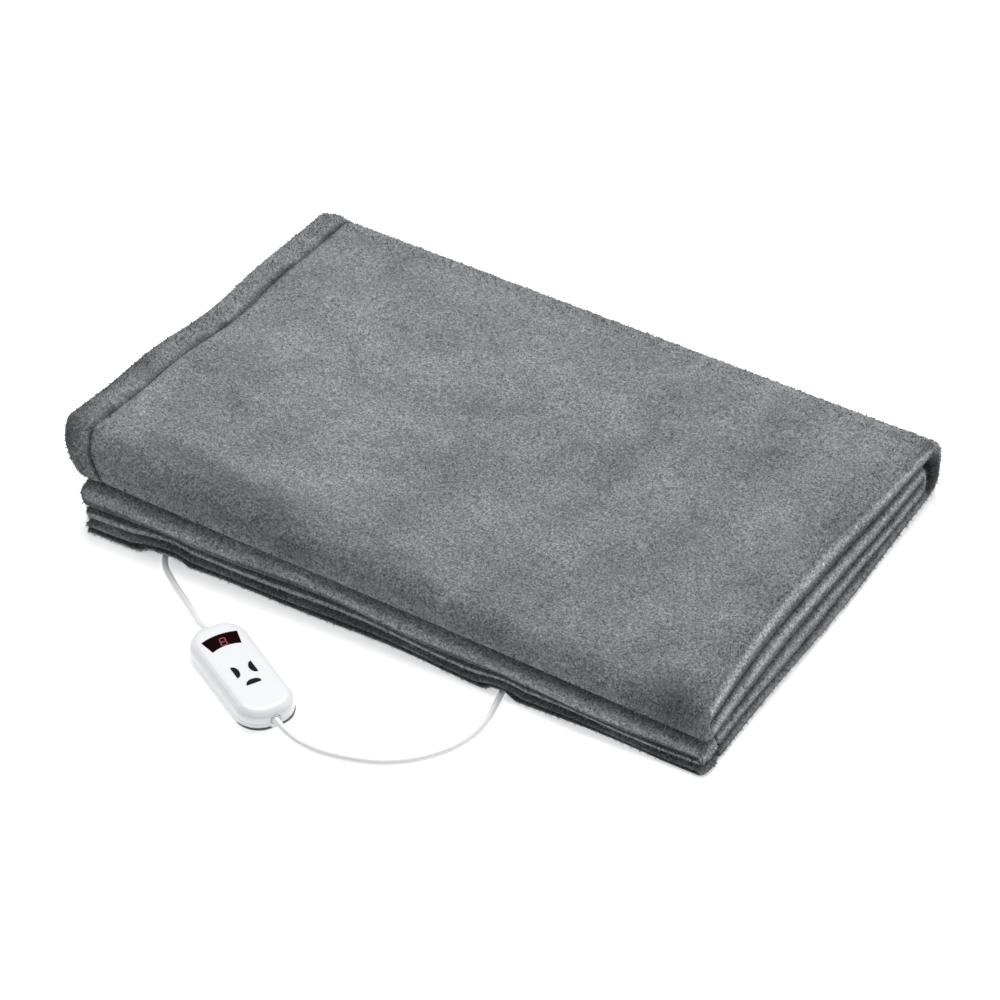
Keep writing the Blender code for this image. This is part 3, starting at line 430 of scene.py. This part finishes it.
def plush_fleece(name, relief):
    """Cut-pile fleece: clouds where the pile lies both ways, pile speckle, a pale sheen, times the
    painted shade of each point.
    """
    cloth = bpy.data.materials.new(name)
    cloth.use_nodes = True
    nodes, links = cloth.node_tree.nodes, cloth.node_tree.links
    shader = nodes["Principled BSDF"]
    shader.inputs["Roughness"].default_value = 0.95
    shader.inputs["Specular IOR Level"].default_value = 0.12
    shader.inputs["Sheen Weight"].default_value = 0.35
    shader.inputs["Sheen Roughness"].default_value = 0.40
    shader.inputs["Sheen Tint"].default_value = (0.93, 0.96, 1.0, 1.0)
    where = nodes.new("ShaderNodeTexCoord")
    clouds = add_node(nodes, "ShaderNodeTexNoise", Scale=14.0, Detail=5.0, Roughness=0.65,
                      Distortion=0.4)
    links.new(where.outputs["Object"], clouds.inputs["Vector"])
    tone = ramp_of(nodes, [
        (0.28, grey(0.118)), (0.43, grey(0.158)), (0.57, grey(0.187)), (0.74, grey(0.220)),
    ])
    links.new(clouds.outputs["Fac"], tone.inputs["Fac"])
    pile = add_node(nodes, "ShaderNodeTexNoise", Scale=470.0, Detail=4.0, Roughness=0.85)
    links.new(where.outputs["Object"], pile.inputs["Vector"])
    speckle = ramp_of(nodes, [(0.32, (0.18,) * 3), (0.50, (0.95,) * 3), (0.68, (1.95,) * 3)])
    links.new(pile.outputs["Fac"], speckle.inputs["Fac"])
    clumps = add_node(nodes, "ShaderNodeTexNoise", Scale=250.0, Detail=2.0, Roughness=0.6,
                      Distortion=0.8)
    links.new(where.outputs["Object"], clumps.inputs["Vector"])
    tufted = ramp_of(nodes, [(0.34, (0.80,) * 3), (0.50, (1.0,) * 3), (0.66, (1.18,) * 3)])
    links.new(clumps.outputs["Fac"], tufted.inputs["Fac"])
    # painted shade and painted highlights, with clouds of tone, laid on each point of the mesh
    painted_shade_and_tone = add_node(nodes, "ShaderNodeAttribute", attribute_name="painted_shade_and_tone")
    colour = multiply(nodes, links, tone.outputs["Color"], speckle.outputs["Color"])
    colour = multiply(nodes, links, colour, tufted.outputs["Color"])
    colour = multiply(nodes, links, colour, painted_shade_and_tone.outputs["Color"])
    links.new(colour, shader.inputs["Base Color"])
    bump = add_node(nodes, "ShaderNodeBump", Strength=relief, Distance=0.0015)
    links.new(pile.outputs["Fac"], bump.inputs["Height"])
    links.new(bump.outputs["Normal"], shader.inputs["Normal"])
    return cloth


fleece = plush_fleece("plush_fleece", 0.7)
throw = closed_sheet("plush_throw")
throw.data.materials.append(fleece)
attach(throw, "throw")
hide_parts("face_fabric", "back_fabric")


# The pile that stands out of the fleece.
# Tufts of cut polyester fibre 2 to 3 mm long, thick on the rims and folds, where they open
# and show as a fuzzy outline, and shorter on the flat top, where they lie over.
RIM_TUFTS, RIM_LENGTH, RIM_WIDTH = 44000, 0.0034, 0.00048
TOP_TUFTS, TOP_LENGTH, TOP_WIDTH = 40000, 0.0020, 0.00055
ROOT_DEPTH = 0.0005
FOOT_LOWEST, TIP_LOWEST = 0.0001, 0.0002    # the pile stays above the table
NAP_LEAN = (0.15, -0.35, -0.25)
pile_finish = plush_fleece("plush_pile", 0.0)


def pile_tufts(name, sheet, count, length, width, wanted, seed):
    """Closed three-sided tufts rooted on the sheet's quads, denser where wanted is high."""
    draw = np.random.default_rng(seed)
    mesh = sheet.data
    total = len(mesh.vertices)
    spots, normals = np.empty(total * 3), np.empty(total * 3)
    mesh.vertices.foreach_get("co", spots)
    mesh.vertices.foreach_get("normal", normals)
    spots, normals = spots.reshape(-1, 3), normals.reshape(-1, 3)
    shade = np.empty(total)
    # the painted shade and painted highlights of the sheet, which the tufts take on
    mesh.attributes["painted_shade_and_tone"].data.foreach_get("value", shade)
    corners = np.empty(len(mesh.loops), dtype=int)
    mesh.loops.foreach_get("vertex_index", corners)
    corners = corners.reshape(-1, 4)
    quad = spots[corners]
    area = np.linalg.norm(np.cross(quad[:, 2] - quad[:, 0], quad[:, 3] - quad[:, 1]), axis=1)
    share = area * wanted(quad.mean(axis=1), normals[corners].mean(axis=1))
    chosen = draw.choice(len(quad), size=count, p=share / share.sum())
    u, v = draw.random((2, count, 1))
    weights = np.stack([(1 - u) * (1 - v), u * (1 - v), u * v, (1 - u) * v], axis=1)
    root = (quad[chosen] * weights).sum(axis=1)
    up = (normals[corners[chosen]] * weights).sum(axis=1)
    up /= np.linalg.norm(up, axis=1, keepdims=True)
    tone = (shade[corners[chosen]] * weights[..., 0]).sum(axis=1)
    lean = draw.normal(size=(count, 3)) + np.array(NAP_LEAN)
    lean -= up * (lean * up).sum(axis=1, keepdims=True)
    lean /= np.linalg.norm(lean, axis=1, keepdims=True)
    side = np.cross(up, lean)
    tall = length * draw.uniform(0.55, 1.15, (count, 1))
    wide = width * draw.uniform(0.7, 1.3, (count, 1))
    tilt = draw.uniform(0.25, 1.0, (count, 1))
    tip = root + up * tall * np.cos(tilt) + lean * tall * np.sin(tilt)
    tip[:, 2] = np.maximum(tip[:, 2], TIP_LOWEST)
    foot = root - up * ROOT_DEPTH
    base = [
        foot + wide * (math.cos(turn) * lean + math.sin(turn) * side)
        for turn in (0.0, 2 * math.pi / 3, 4 * math.pi / 3)
    ]
    places = np.stack([*base, tip], axis=1).reshape(-1, 3)
    places[:, 2] = np.maximum(places[:, 2], FOOT_LOWEST)
    first = 4 * np.arange(count)[:, None]
    faces = np.concatenate([first + tri for tri in ((2, 1, 0), (0, 1, 3), (1, 2, 3), (2, 0, 3))])
    # the tone of each tuft varies at random, with painted shade at its root and a painted
    # highlight at its tip
    light = tone * draw.uniform(0.45, 1.55, count)
    dark_root, pale_tip = light * 0.70, light * 1.40
    tufts = add_mesh(name, places.tolist(), faces.tolist(),
                     np.stack([dark_root] * 3 + [pale_tip], axis=1))
    tufts.data.materials.append(pile_finish)
    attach(tufts, "throw")
    return tufts


def on_rims(centre, normal):
    """Fullest on the front, the hems, the right-hand folds and the top back edge."""
    x, y, z = centre.T
    front = (y < -0.200) & (normal[:, 1] < 0.15)
    left = (x < -0.316) & (normal[:, 0] < 0.15)
    right = (x > 0.290) & (normal[:, 0] > 0.0)
    rear = (y > 0.202) & (normal[:, 1] > -0.1) & (z > 0.020)
    return (front * 1.0 + left * 1.2 + right * 0.8 + rear * 0.7) * (normal[:, 2] > -0.85)


def on_top(centre, normal):
    """Even over the upper face of the throw."""
    return (normal[:, 2] > 0.35) * (centre[:, 2] > 0.045) + 0.0


rim_pile = pile_tufts("pile_on_rims", throw, RIM_TUFTS, RIM_LENGTH, RIM_WIDTH, on_rims, seed=3)
top_pile = pile_tufts("pile_on_top", throw, TOP_TUFTS, TOP_LENGTH, TOP_WIDTH, on_top, seed=4)


# The stitching of the hem.
# One line of grey polyester lockstitch, 27 mm in from the edge on all four sides. It pulls
# the plush down into a groove, and only its crowns show.
def along_seam():
    """Points on the seam of the face ply, all the way round the sheet."""
    rows, columns = strip_rows(), sheet_columns()
    end_hem = np.isin(rows[:, 3], (LOWER, BOTTOM)) & (rows[:, 0] - FREE_END_Y < HEM_WIDTH + 0.0001)
    kept_rows = np.where(~end_hem)[0]
    kept_columns = np.where(columns[:, 2] >= HEM_WIDTH - 0.0001)[0]
    x, y, z = folded(rows, columns, SHEET_THICK / 4)
    places = settled(x, y, z, rows, columns)
    loop = [places[j, kept_columns[0]] for j in kept_rows]
    loop += [places[kept_rows[-1], i] for i in kept_columns]
    loop += [places[j, kept_columns[-1]] for j in kept_rows[::-1]]
    loop += [places[kept_rows[0], i] for i in kept_columns[::-1]]
    return np.array(loop)


def thread_stitches(name, path, pitch, length, radius):
    """One closed, six-sided crown of thread for each stitch along a path."""
    steps = np.linalg.norm(np.diff(path, axis=0), axis=1)
    reached = np.concatenate([[0], np.cumsum(steps)])
    starts = np.arange(0.0, reached[-1] - length, pitch)

    def at(distance):
        return np.stack([np.interp(distance, reached, path[:, k]) for k in range(3)], axis=1)

    first, last = at(starts), at(starts + length)
    way = last - first
    way /= np.linalg.norm(way, axis=1, keepdims=True) + 1e-9
    side = np.cross(way, np.array([0.31, 0.23, 0.92]))
    side /= np.linalg.norm(side, axis=1, keepdims=True) + 1e-9
    rise = np.cross(side, way)
    rings = []
    for share, size in ((0.10, 0.6), (0.50, 1.0), (0.90, 0.6)):
        middle = first + (last - first) * share
        for k in range(6):
            angle = math.pi * k / 3
            rings.append(middle + radius * size * (
                math.cos(angle) * side + math.sin(angle) * rise))
    places = np.stack([*rings, first, last], axis=1).reshape(-1, 3)
    faces = []
    for number in range(len(starts)):
        base = 20 * number
        for ring in range(2):
            for k in range(6):
                a, b = base + 6 * ring + k, base + 6 * ring + (k + 1) % 6
                faces.append((a, b, b + 6, a + 6))
        for k in range(6):
            faces.append((base + (k + 1) % 6, base + k, base + 18))
            faces.append((base + 12 + k, base + 12 + (k + 1) % 6, base + 19))
    return add_mesh(name, places.tolist(), faces)


def moulded(name, colour, roughness, metallic=0.0, grain=400.0, depth=0.1, spread=0.12):
    """A plain moulded or plated finish: slight mottle in colour and gloss, and a fine skin."""
    material = bpy.data.materials.new(name)
    material.use_nodes = True
    nodes, links = material.node_tree.nodes, material.node_tree.links
    shader = nodes["Principled BSDF"]
    shader.inputs["Metallic"].default_value = metallic
    where = nodes.new("ShaderNodeTexCoord")
    mottle = add_node(nodes, "ShaderNodeTexNoise", Scale=grain, Detail=3.0)
    links.new(where.outputs["Object"], mottle.inputs["Vector"])
    dark, light = 1 - spread, 1 + spread / 2
    tone = ramp_of(nodes, [
        (0.3, tuple(c * dark for c in colour)), (0.7, tuple(min(1.0, c * light) for c in colour)),
    ])
    links.new(mottle.outputs["Fac"], tone.inputs["Fac"])
    links.new(tone.outputs["Color"], shader.inputs["Base Color"])
    low, high = max(0.03, roughness - 0.4 * spread), min(1.0, roughness + 0.5 * spread)
    gloss = ramp_of(nodes, [(0.3, (low,) * 3), (0.7, (high,) * 3)])
    links.new(mottle.outputs["Fac"], gloss.inputs["Fac"])
    links.new(gloss.outputs["Color"], shader.inputs["Roughness"])
    bump = add_node(nodes, "ShaderNodeBump", Strength=depth, Distance=0.0002)
    links.new(mottle.outputs["Fac"], bump.inputs["Height"])
    links.new(bump.outputs["Normal"], shader.inputs["Normal"])
    return material


STITCH_PITCH, STITCH_LENGTH, THREAD_RADIUS = 0.0042, 0.0032, 0.00035
hem_stitches = thread_stitches("hem_stitches", along_seam(), STITCH_PITCH, STITCH_LENGTH,
                               THREAD_RADIUS)
hem_stitches.data.materials.append(moulded("grey_thread", (0.10, 0.105, 0.11), 0.7, grain=900.0))
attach(hem_stitches, "throw")


# The heating wire.
# A thin carbon element in pale silicone insulation, laid between the plies in long runs up
# and down the throw, each 90 mm from the next, and turned back short of both free hems.
WIRE_LEFT, WIRE_PITCH, WIRE_LINES = -0.280, 0.090, 7
WIRE_END_ROWS = 19           # rows of the sheet left free at each end
WIRE_RADIUS = 0.0006


def wire_path():
    """Points along the element, which runs through the middle of the folded sheet."""
    rows, columns = strip_rows(), sheet_columns()
    x, y, z = folded(rows, columns, 0.0)
    places = settled(x, y, z, rows, columns)
    over = np.where(columns[:, 1] == 0.0)[0]
    under = np.where(columns[:, 1] == math.pi)[0]
    lines = []
    for half, order in ((over, 1), (under, -1)):
        targets = (WIRE_LEFT + WIRE_PITCH * np.arange(WIRE_LINES))[::order]
        lines += [half[np.argmin(np.abs(columns[half, 0] - t))] for t in targets]
    first, last = WIRE_END_ROWS, len(rows) - 1 - WIRE_END_ROWS
    path, row = [], first
    for line, after in zip(lines, lines[1:] + [None]):
        span = range(first, last + 1) if row == first else range(last, first - 1, -1)
        path += [places[j, line] for j in span]
        row = last if row == first else first
        if after is not None:
            path += [places[row, i] for i in range(line + 1, after)]
    return path


def add_cord(name, points, radius, detail, material):
    """A round cord or wire through the points given."""
    curve = bpy.data.curves.new(name, "CURVE")
    curve.dimensions = "3D"
    curve.bevel_depth = radius
    curve.bevel_resolution = detail
    curve.use_fill_caps = True
    spline = curve.splines.new("POLY")
    spline.points.add(len(points) - 1)
    for spot, point in zip(spline.points, points):
        spot.co = (*point, 1.0)
    curve.materials.append(material)
    piece = bpy.data.objects.new(name, curve)
    bpy.context.scene.collection.objects.link(piece)
    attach(piece, "throw")
    return piece


wire = add_cord("heating_element", wire_path(), WIRE_RADIUS, 0,
                moulded("silicone_insulation", (0.72, 0.68, 0.60), 0.5))
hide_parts("heating_wire")


# The lead.
# A short round cord in white PVC, 6 mm thick, moulded into a plug at its far end. It runs
# from the controller to the socket under the left end of the throw.
CORD_RADIUS = 0.003
CORD_STEP = 0.004            # between the points of a smooth route
CORD_SIDES = 5               # bevel steps round a quarter of the cord
CASE_CENTRE = Vector((-0.087, -0.3245, 0.0))
CASE_TURN = math.radians(-31.0)
CASE_LENGTH, PORT_HEIGHT = 0.133, 0.0115
PORT_RUN = (CASE_LENGTH / 2 - 0.008, CASE_LENGTH / 2 - 0.001, CASE_LENGTH / 2 + 0.003)
cord_white = moulded("cord_white", (0.67, 0.675, 0.685), 0.42, grain=300.0, depth=0.06,
                     spread=0.03)
cord_white.node_tree.nodes["Principled BSDF"].inputs["Coat Weight"].default_value = 0.10


def on_case(x, y, z):
    """A place on the controller, whose own x runs along it towards the mains end."""
    cosine, sine = math.cos(CASE_TURN), math.sin(CASE_TURN)
    return CASE_CENTRE + Vector((x * cosine - y * sine, x * sine + y * cosine, z))


def smooth_route(points, step):
    """Points a step apart on a smooth curve through the route's own points."""
    points = [Vector(p) for p in points]
    ends = [2 * points[0] - points[1], *points, 2 * points[-1] - points[-2]]
    route = [points[0]]
    for a, b, c, d in zip(ends, ends[1:], ends[2:], ends[3:]):
        count = max(1, round((c - b).length / step))
        for k in range(1, count + 1):
            t = k / count
            route.append(0.5 * (
                2 * b + (c - a) * t + (2 * a - 5 * b + 4 * c - d) * t * t
                + (3 * b - a - 3 * c + d) * t ** 3
            ))
    return route


plug_low, plug_high = (Vector(corner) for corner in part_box("connector_plug"))
plug_middle = (plug_low + plug_high) / 2
lead_route = [on_case(-x, 0, PORT_HEIGHT) for x in PORT_RUN] + [
    (-0.1590, -0.2805, 0.0068), (-0.1700, -0.2715, 0.0036), (-0.1830, -0.2615, 0.0030),
    (-0.2000, -0.2503, 0.0030), (-0.2170, -0.2385, 0.0030), (-0.2310, -0.2260, 0.0030),
    (-0.2395, -0.2100, 0.0030), (-0.2420, -0.1920, 0.0030), (-0.2402, -0.1710, 0.0030),
    (-0.2372, -0.1520, 0.0031), (-0.2360, -0.1350, 0.0034),
    (plug_middle.x, relief_start[1] - 0.0003, plug_middle.z - 0.0010),
    (plug_middle.x, plug_low.y - 0.0003, plug_middle.z),
]
lead_points = smooth_route(lead_route, CORD_STEP)
lead = add_cord("lead", lead_points, CORD_RADIUS, CORD_SIDES, cord_white)
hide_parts("lead_cord")


# The mains cord.
# The same round white PVC cord. It loops out in front of the throw, runs straight back under
# it, and what is left is folded in a flat hank behind, with its tie and two-pin plug.
mains_route = [on_case(x, 0, PORT_HEIGHT) for x in PORT_RUN] + [
    (-0.0160, -0.3645, 0.0085), (-0.0010, -0.3665, 0.0046), (0.0230, -0.3660, 0.0030),
    (0.0520, -0.3598, 0.0030), (0.0790, -0.3480, 0.0030), (0.1015, -0.3290, 0.0030),
    (0.1185, -0.3040, 0.0030), (0.1262, -0.2790, 0.0030), (0.1265, -0.2555, 0.0030),
    (0.1228, -0.2330, 0.0030), (0.1190, -0.2100, 0.0030), (0.1180, -0.1800, 0.0030),
    (0.1180, -0.1000, 0.0030), (0.1180, 0.0000, 0.0030), (0.1180, 0.1000, 0.0030),
    (0.1180, 0.1700, 0.0030), (0.1180, 0.2040, 0.0030), (0.1148, 0.2180, 0.0030),
    (0.1060, 0.2278, 0.0030), (0.0930, 0.2310, 0.0031), (0.0750, 0.2311, 0.0036),
    (0.0560, 0.2310, 0.0041), (0.0390, 0.2310, 0.0041), (0.0212, 0.2310, 0.0041),
]
HANK_RIGHT, HANK_RUN, HANK_FOLD, HANK_NEAR = 0.0060, 0.120, 0.018, 0.2310
HANK_LOW = 0.0011 + CORD_RADIUS
HANK_STEPS = 12              # points along a run
FOLD_STEPS = 14              # points round a fold


def hank_points():
    """Two flat turns of cord on each other, ended by a third run on the near side."""
    points, height = [], HANK_LOW
    far, left = HANK_NEAR + 2 * HANK_FOLD, HANK_RIGHT - HANK_RUN
    middle = HANK_NEAR + HANK_FOLD
    steps = range(HANK_STEPS + 1)
    for turn in range(2):
        points += [(HANK_RIGHT - HANK_RUN * k / HANK_STEPS, HANK_NEAR, height) for k in steps]
        for k in range(1, FOLD_STEPS):
            angle = -math.pi / 2 - math.pi * k / FOLD_STEPS
            points.append((left + HANK_FOLD * math.cos(angle),
                           middle + HANK_FOLD * math.sin(angle), height))
        points += [(left + HANK_RUN * k / HANK_STEPS, far, height) for k in steps]
        for k in range(1, FOLD_STEPS):
            angle = math.pi / 2 - math.pi * k / FOLD_STEPS
            rise = 2 * CORD_RADIUS * float(ease(np.float64(k / FOLD_STEPS), 0.0, 1.0))
            points.append((HANK_RIGHT + HANK_FOLD * math.cos(angle),
                           middle + HANK_FOLD * math.sin(angle), height + rise))
        height += 2 * CORD_RADIUS
    points += [(HANK_RIGHT - HANK_RUN * k / HANK_STEPS, HANK_NEAR, height) for k in steps]
    return points


relief_low, relief_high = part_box("mains_strain_relief")
mains_plug_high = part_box("mains_plug_body")[1]
tail_route = [
    (-0.1292, 0.2310, 0.0160), (-0.1450, 0.2330, 0.0145), (-0.1600, 0.2388, 0.0106),
    (-0.1700, 0.2430, 0.0080), (-0.1780, 0.24555, 0.0070),
    (mains_plug_high[0] + 0.0006, (relief_low[1] + relief_high[1]) / 2,
     (relief_low[2] + relief_high[2]) / 2),
]
mains_points = smooth_route(mains_route + hank_points() + tail_route, CORD_STEP)
mains = add_cord("mains_lead", mains_points, CORD_RADIUS, CORD_SIDES, cord_white)
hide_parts("mains_cord", "cord_hank", "mains_cord_tail")


# The plugs, the socket and the tie.
# Both plugs are overmoulded in white PVC on plated brass. The socket is clipped to the back
# ply of the throw, and a strip of black woven hook-and-loop tape holds the hank.
def give(material, *names):
    """Put one finish on pieces whose shape stays as it is."""
    for name in names:
        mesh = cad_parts[name].data
        mesh.materials.clear()
        mesh.materials.append(material)


give(moulded("overmould_white", (0.69, 0.695, 0.705), 0.38, grain=500.0, depth=0.12, spread=0.04),
     "socket_housing", "connector_plug", "connector_strain_relief", "mains_plug_body",
     "mains_strain_relief", "lead_grommet", "mains_grommet")
give(moulded("plated_brass", (0.74, 0.66, 0.46), 0.25, metallic=1.0, grain=900.0),
     "socket_contact_1", "socket_contact_2", "socket_contact_3", "mains_pin_1", "mains_pin_2")
give(moulded("woven_tape", (0.018, 0.018, 0.020), 0.85, grain=1500.0, depth=0.9, spread=0.5),
     "hank_tie")


# The controller's case.
# Two halves of glossy white ABS, injection moulded, with the seam between them round the side.
# Four zinc-plated screws from below hold them together.
case_white = moulded("case_white", (0.635, 0.64, 0.65), 0.28, grain=250.0, depth=0.02,
                     spread=0.01)
case_face = case_white.node_tree.nodes["Principled BSDF"]
case_face.inputs["Coat Weight"].default_value = 0.15
case_face.inputs["Coat Roughness"].default_value = 0.12
give(case_white, "case_top", "case_bottom")
give(moulded("screw_zinc", (0.62, 0.62, 0.60), 0.3, metallic=1.0, grain=900.0),
     *(f"case_screw_{number}" for number in range(1, 5)))


# The painted shadow at the base.
# A thin strip of dark grey round the mains end of the lower half, on each side of the
# cord: a painted shadow in the gap at the foot of the case. It is thickest near the cord.
CASE_WIDTH, CASE_CORNER = 0.057, 0.024
SHADOW_STRIP_HEIGHT, SHADOW_STRIP_RADIUS = 0.0042, 0.0011
SHADOW_STRIP_SWEEP, SHADOW_STRIP_STEPS = math.radians(82), 20


def shadow_arc(side):
    """Points round one corner of the case's mains end, from near the cord to the flank."""
    across, along = CASE_WIDTH / 2 - CASE_CORNER, CASE_LENGTH / 2 - CASE_CORNER
    turns = [SHADOW_STRIP_SWEEP * k / SHADOW_STRIP_STEPS for k in range(SHADOW_STRIP_STEPS + 1)]
    reach = CASE_CORNER + 0.0001
    return [
        on_case(along + reach * math.cos(t), side * (across + reach * math.sin(t)),
                SHADOW_STRIP_HEIGHT)
        for t in turns
    ]


def tapered_strip(name, path, radius, sides=10):
    """A closed round strip along a level path, thickest near its start and thin at its end."""
    path = np.array([tuple(p) for p in path])
    way = np.gradient(path, axis=0)
    way /= np.linalg.norm(way, axis=1, keepdims=True)
    out = np.stack([way[:, 1], -way[:, 0], 0 * way[:, 0]], axis=1)
    share = np.arange(len(path)) / (len(path) - 1)
    size = radius * (0.25 + 0.75 * np.sin(math.pi * (0.30 + 0.70 * share)))
    turns = 2 * math.pi * np.arange(sides) / sides
    rings = path[:, None] + size[:, None, None] * (
        np.cos(turns)[None, :, None] * out[:, None]
        + np.sin(turns)[None, :, None] * np.array([0.0, 0.0, 1.0]))
    faces = [list(range(sides))[::-1], list(range(sides * (len(path) - 1), sides * len(path)))]
    for k in range(len(path) - 1):
        for i in range(sides):
            a, b = sides * k + i, sides * k + (i + 1) % sides
            faces.append((a, b, b + sides, a + sides))
    strip = add_mesh(name, rings.reshape(-1, 3).tolist(), faces)
    outward = bmesh.new()
    outward.from_mesh(strip.data)
    bmesh.ops.recalc_face_normals(outward, faces=outward.faces)
    outward.to_mesh(strip.data)
    outward.free()
    strip.data.shade_smooth()
    return strip


# a dark grey that stands in for the shadow in the gap at the foot of the case
shadow_grey = moulded("painted_shadow_grey", (0.075, 0.078, 0.082), 0.6, grain=800.0)
for side, name in ((-1, "painted_shadow_left"), (1, "painted_shadow_right")):
    rim = tapered_strip(name, shadow_arc(side), SHADOW_STRIP_RADIUS)
    rim.data.materials.append(shadow_grey)
    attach(rim, "throw")


# The display.
# A smoked red acrylic window over an LED module. One seven-segment digit and its dot show
# dimly through the window.
smoked = moulded("smoked_acrylic", (0.006, 0.0006, 0.0010), 0.12, grain=200.0, depth=0.0)
smoked.node_tree.nodes["Principled BSDF"].inputs["Specular IOR Level"].default_value = 0.04
give(smoked, "display_window")
DIGIT_X, DIGIT_Y = -0.0368, 0.0005      # middle of the digit on the case
DIGIT_HEIGHT, DIGIT_WIDTH, DIGIT_STROKE = 0.0094, 0.0054, 0.0010
window_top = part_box("display_window")[1][2]


def dim_red():
    """The glow of the LED bars, as dim as it looks through the smoked window."""
    glow = moulded("dim_red", (0.16, 0.006, 0.012), 0.35, grain=600.0)
    shader = glow.node_tree.nodes["Principled BSDF"]
    shader.inputs["Emission Color"].default_value = (1.0, 0.05, 0.08, 1.0)
    shader.inputs["Emission Strength"].default_value = 0.13
    return glow


def lit_digit(name, middle_x, middle_y, height, width, stroke):
    """Seven slanted bars and a dot on the window, read with the lead end of the case on top."""
    shape = bmesh.new()
    slant, thick, gap = 0.14, 0.00006, 0.00004

    def bar(across, up, long_across, long_up):
        outline = []
        reach = max(long_across, long_up) / 2
        for u, v in ((reach, 0), (reach - stroke / 2, 0.5), (-reach + stroke / 2, 0.5),
                     (-reach, 0), (-reach + stroke / 2, -0.5), (reach - stroke / 2, -0.5)):
            a, b = (u, v * stroke) if long_across > long_up else (-v * stroke, u)
            outline.append((across + a + slant * (up + b), up + b))
        for level in (0.0, thick):
            for a, b in outline:
                shape.verts.new(on_case(middle_x - b, middle_y + a, window_top + level + gap))
        shape.verts.ensure_lookup_table()
        low, high = shape.verts[-12:-6], shape.verts[-6:]
        shape.faces.new(high)
        shape.faces.new(low[::-1])
        for k in range(6):
            shape.faces.new((low[k], low[(k + 1) % 6], high[(k + 1) % 6], high[k]))

    arm = height / 2 - 0.0002
    for up in (-height / 2, 0.0, height / 2):
        bar(0.0, up, width - 0.0004, 0.0)
    for across in (-width / 2, width / 2):
        for up in (-height / 4, height / 4):
            bar(across, up, 0.0, arm - 0.0002)
    bar(width / 2 + 1.8 * stroke, -height / 2, stroke * 1.05, 0.0)
    bmesh.ops.recalc_face_normals(shape, faces=shape.faces)
    mesh = bpy.data.meshes.new(name)
    shape.to_mesh(mesh)
    shape.free()
    digit = bpy.data.objects.new(name, mesh)
    bpy.context.scene.collection.objects.link(digit)
    mesh.materials.append(dim_red())
    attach(digit, "throw")


lit_digit("display_digit", DIGIT_X, DIGIT_Y, DIGIT_HEIGHT, DIGIT_WIDTH, DIGIT_STROKE)
module_grey = moulded("module_grey", (0.70, 0.70, 0.68), 0.5)
give(module_grey, "display_module")


# The buttons.
# Three half-moon keys moulded in satin black ABS. Each slides in its own hole in the upper
# half of the case, on a stem that presses a switch below it.
key_black = moulded("button_black", (0.005, 0.005, 0.006), 0.42, grain=900.0, depth=0.15,
                    spread=0.15)
key_black.node_tree.nodes["Principled BSDF"].inputs["Specular IOR Level"].default_value = 0.05
give(key_black, "button_timer", "button_heat", "button_power")


# What the case holds.
# A green glass-epoxy board lies in the lower half. Its control chip, triac, capacitor, fuse
# and three switches are soldered to it, and none of them shows from outside.
give(moulded("switch_black", (0.014, 0.014, 0.016), 0.45), "controller_chip", "heater_triac",
     "switch_timer", "switch_heat", "switch_power")
give(moulded("board_green", (0.03, 0.16, 0.07), 0.4), "circuit_board")
give(module_grey, "fuse")
give(moulded("capacitor_sleeve", (0.03, 0.05, 0.13), 0.3), "supply_capacitor")

bpy.context.view_layer.update()
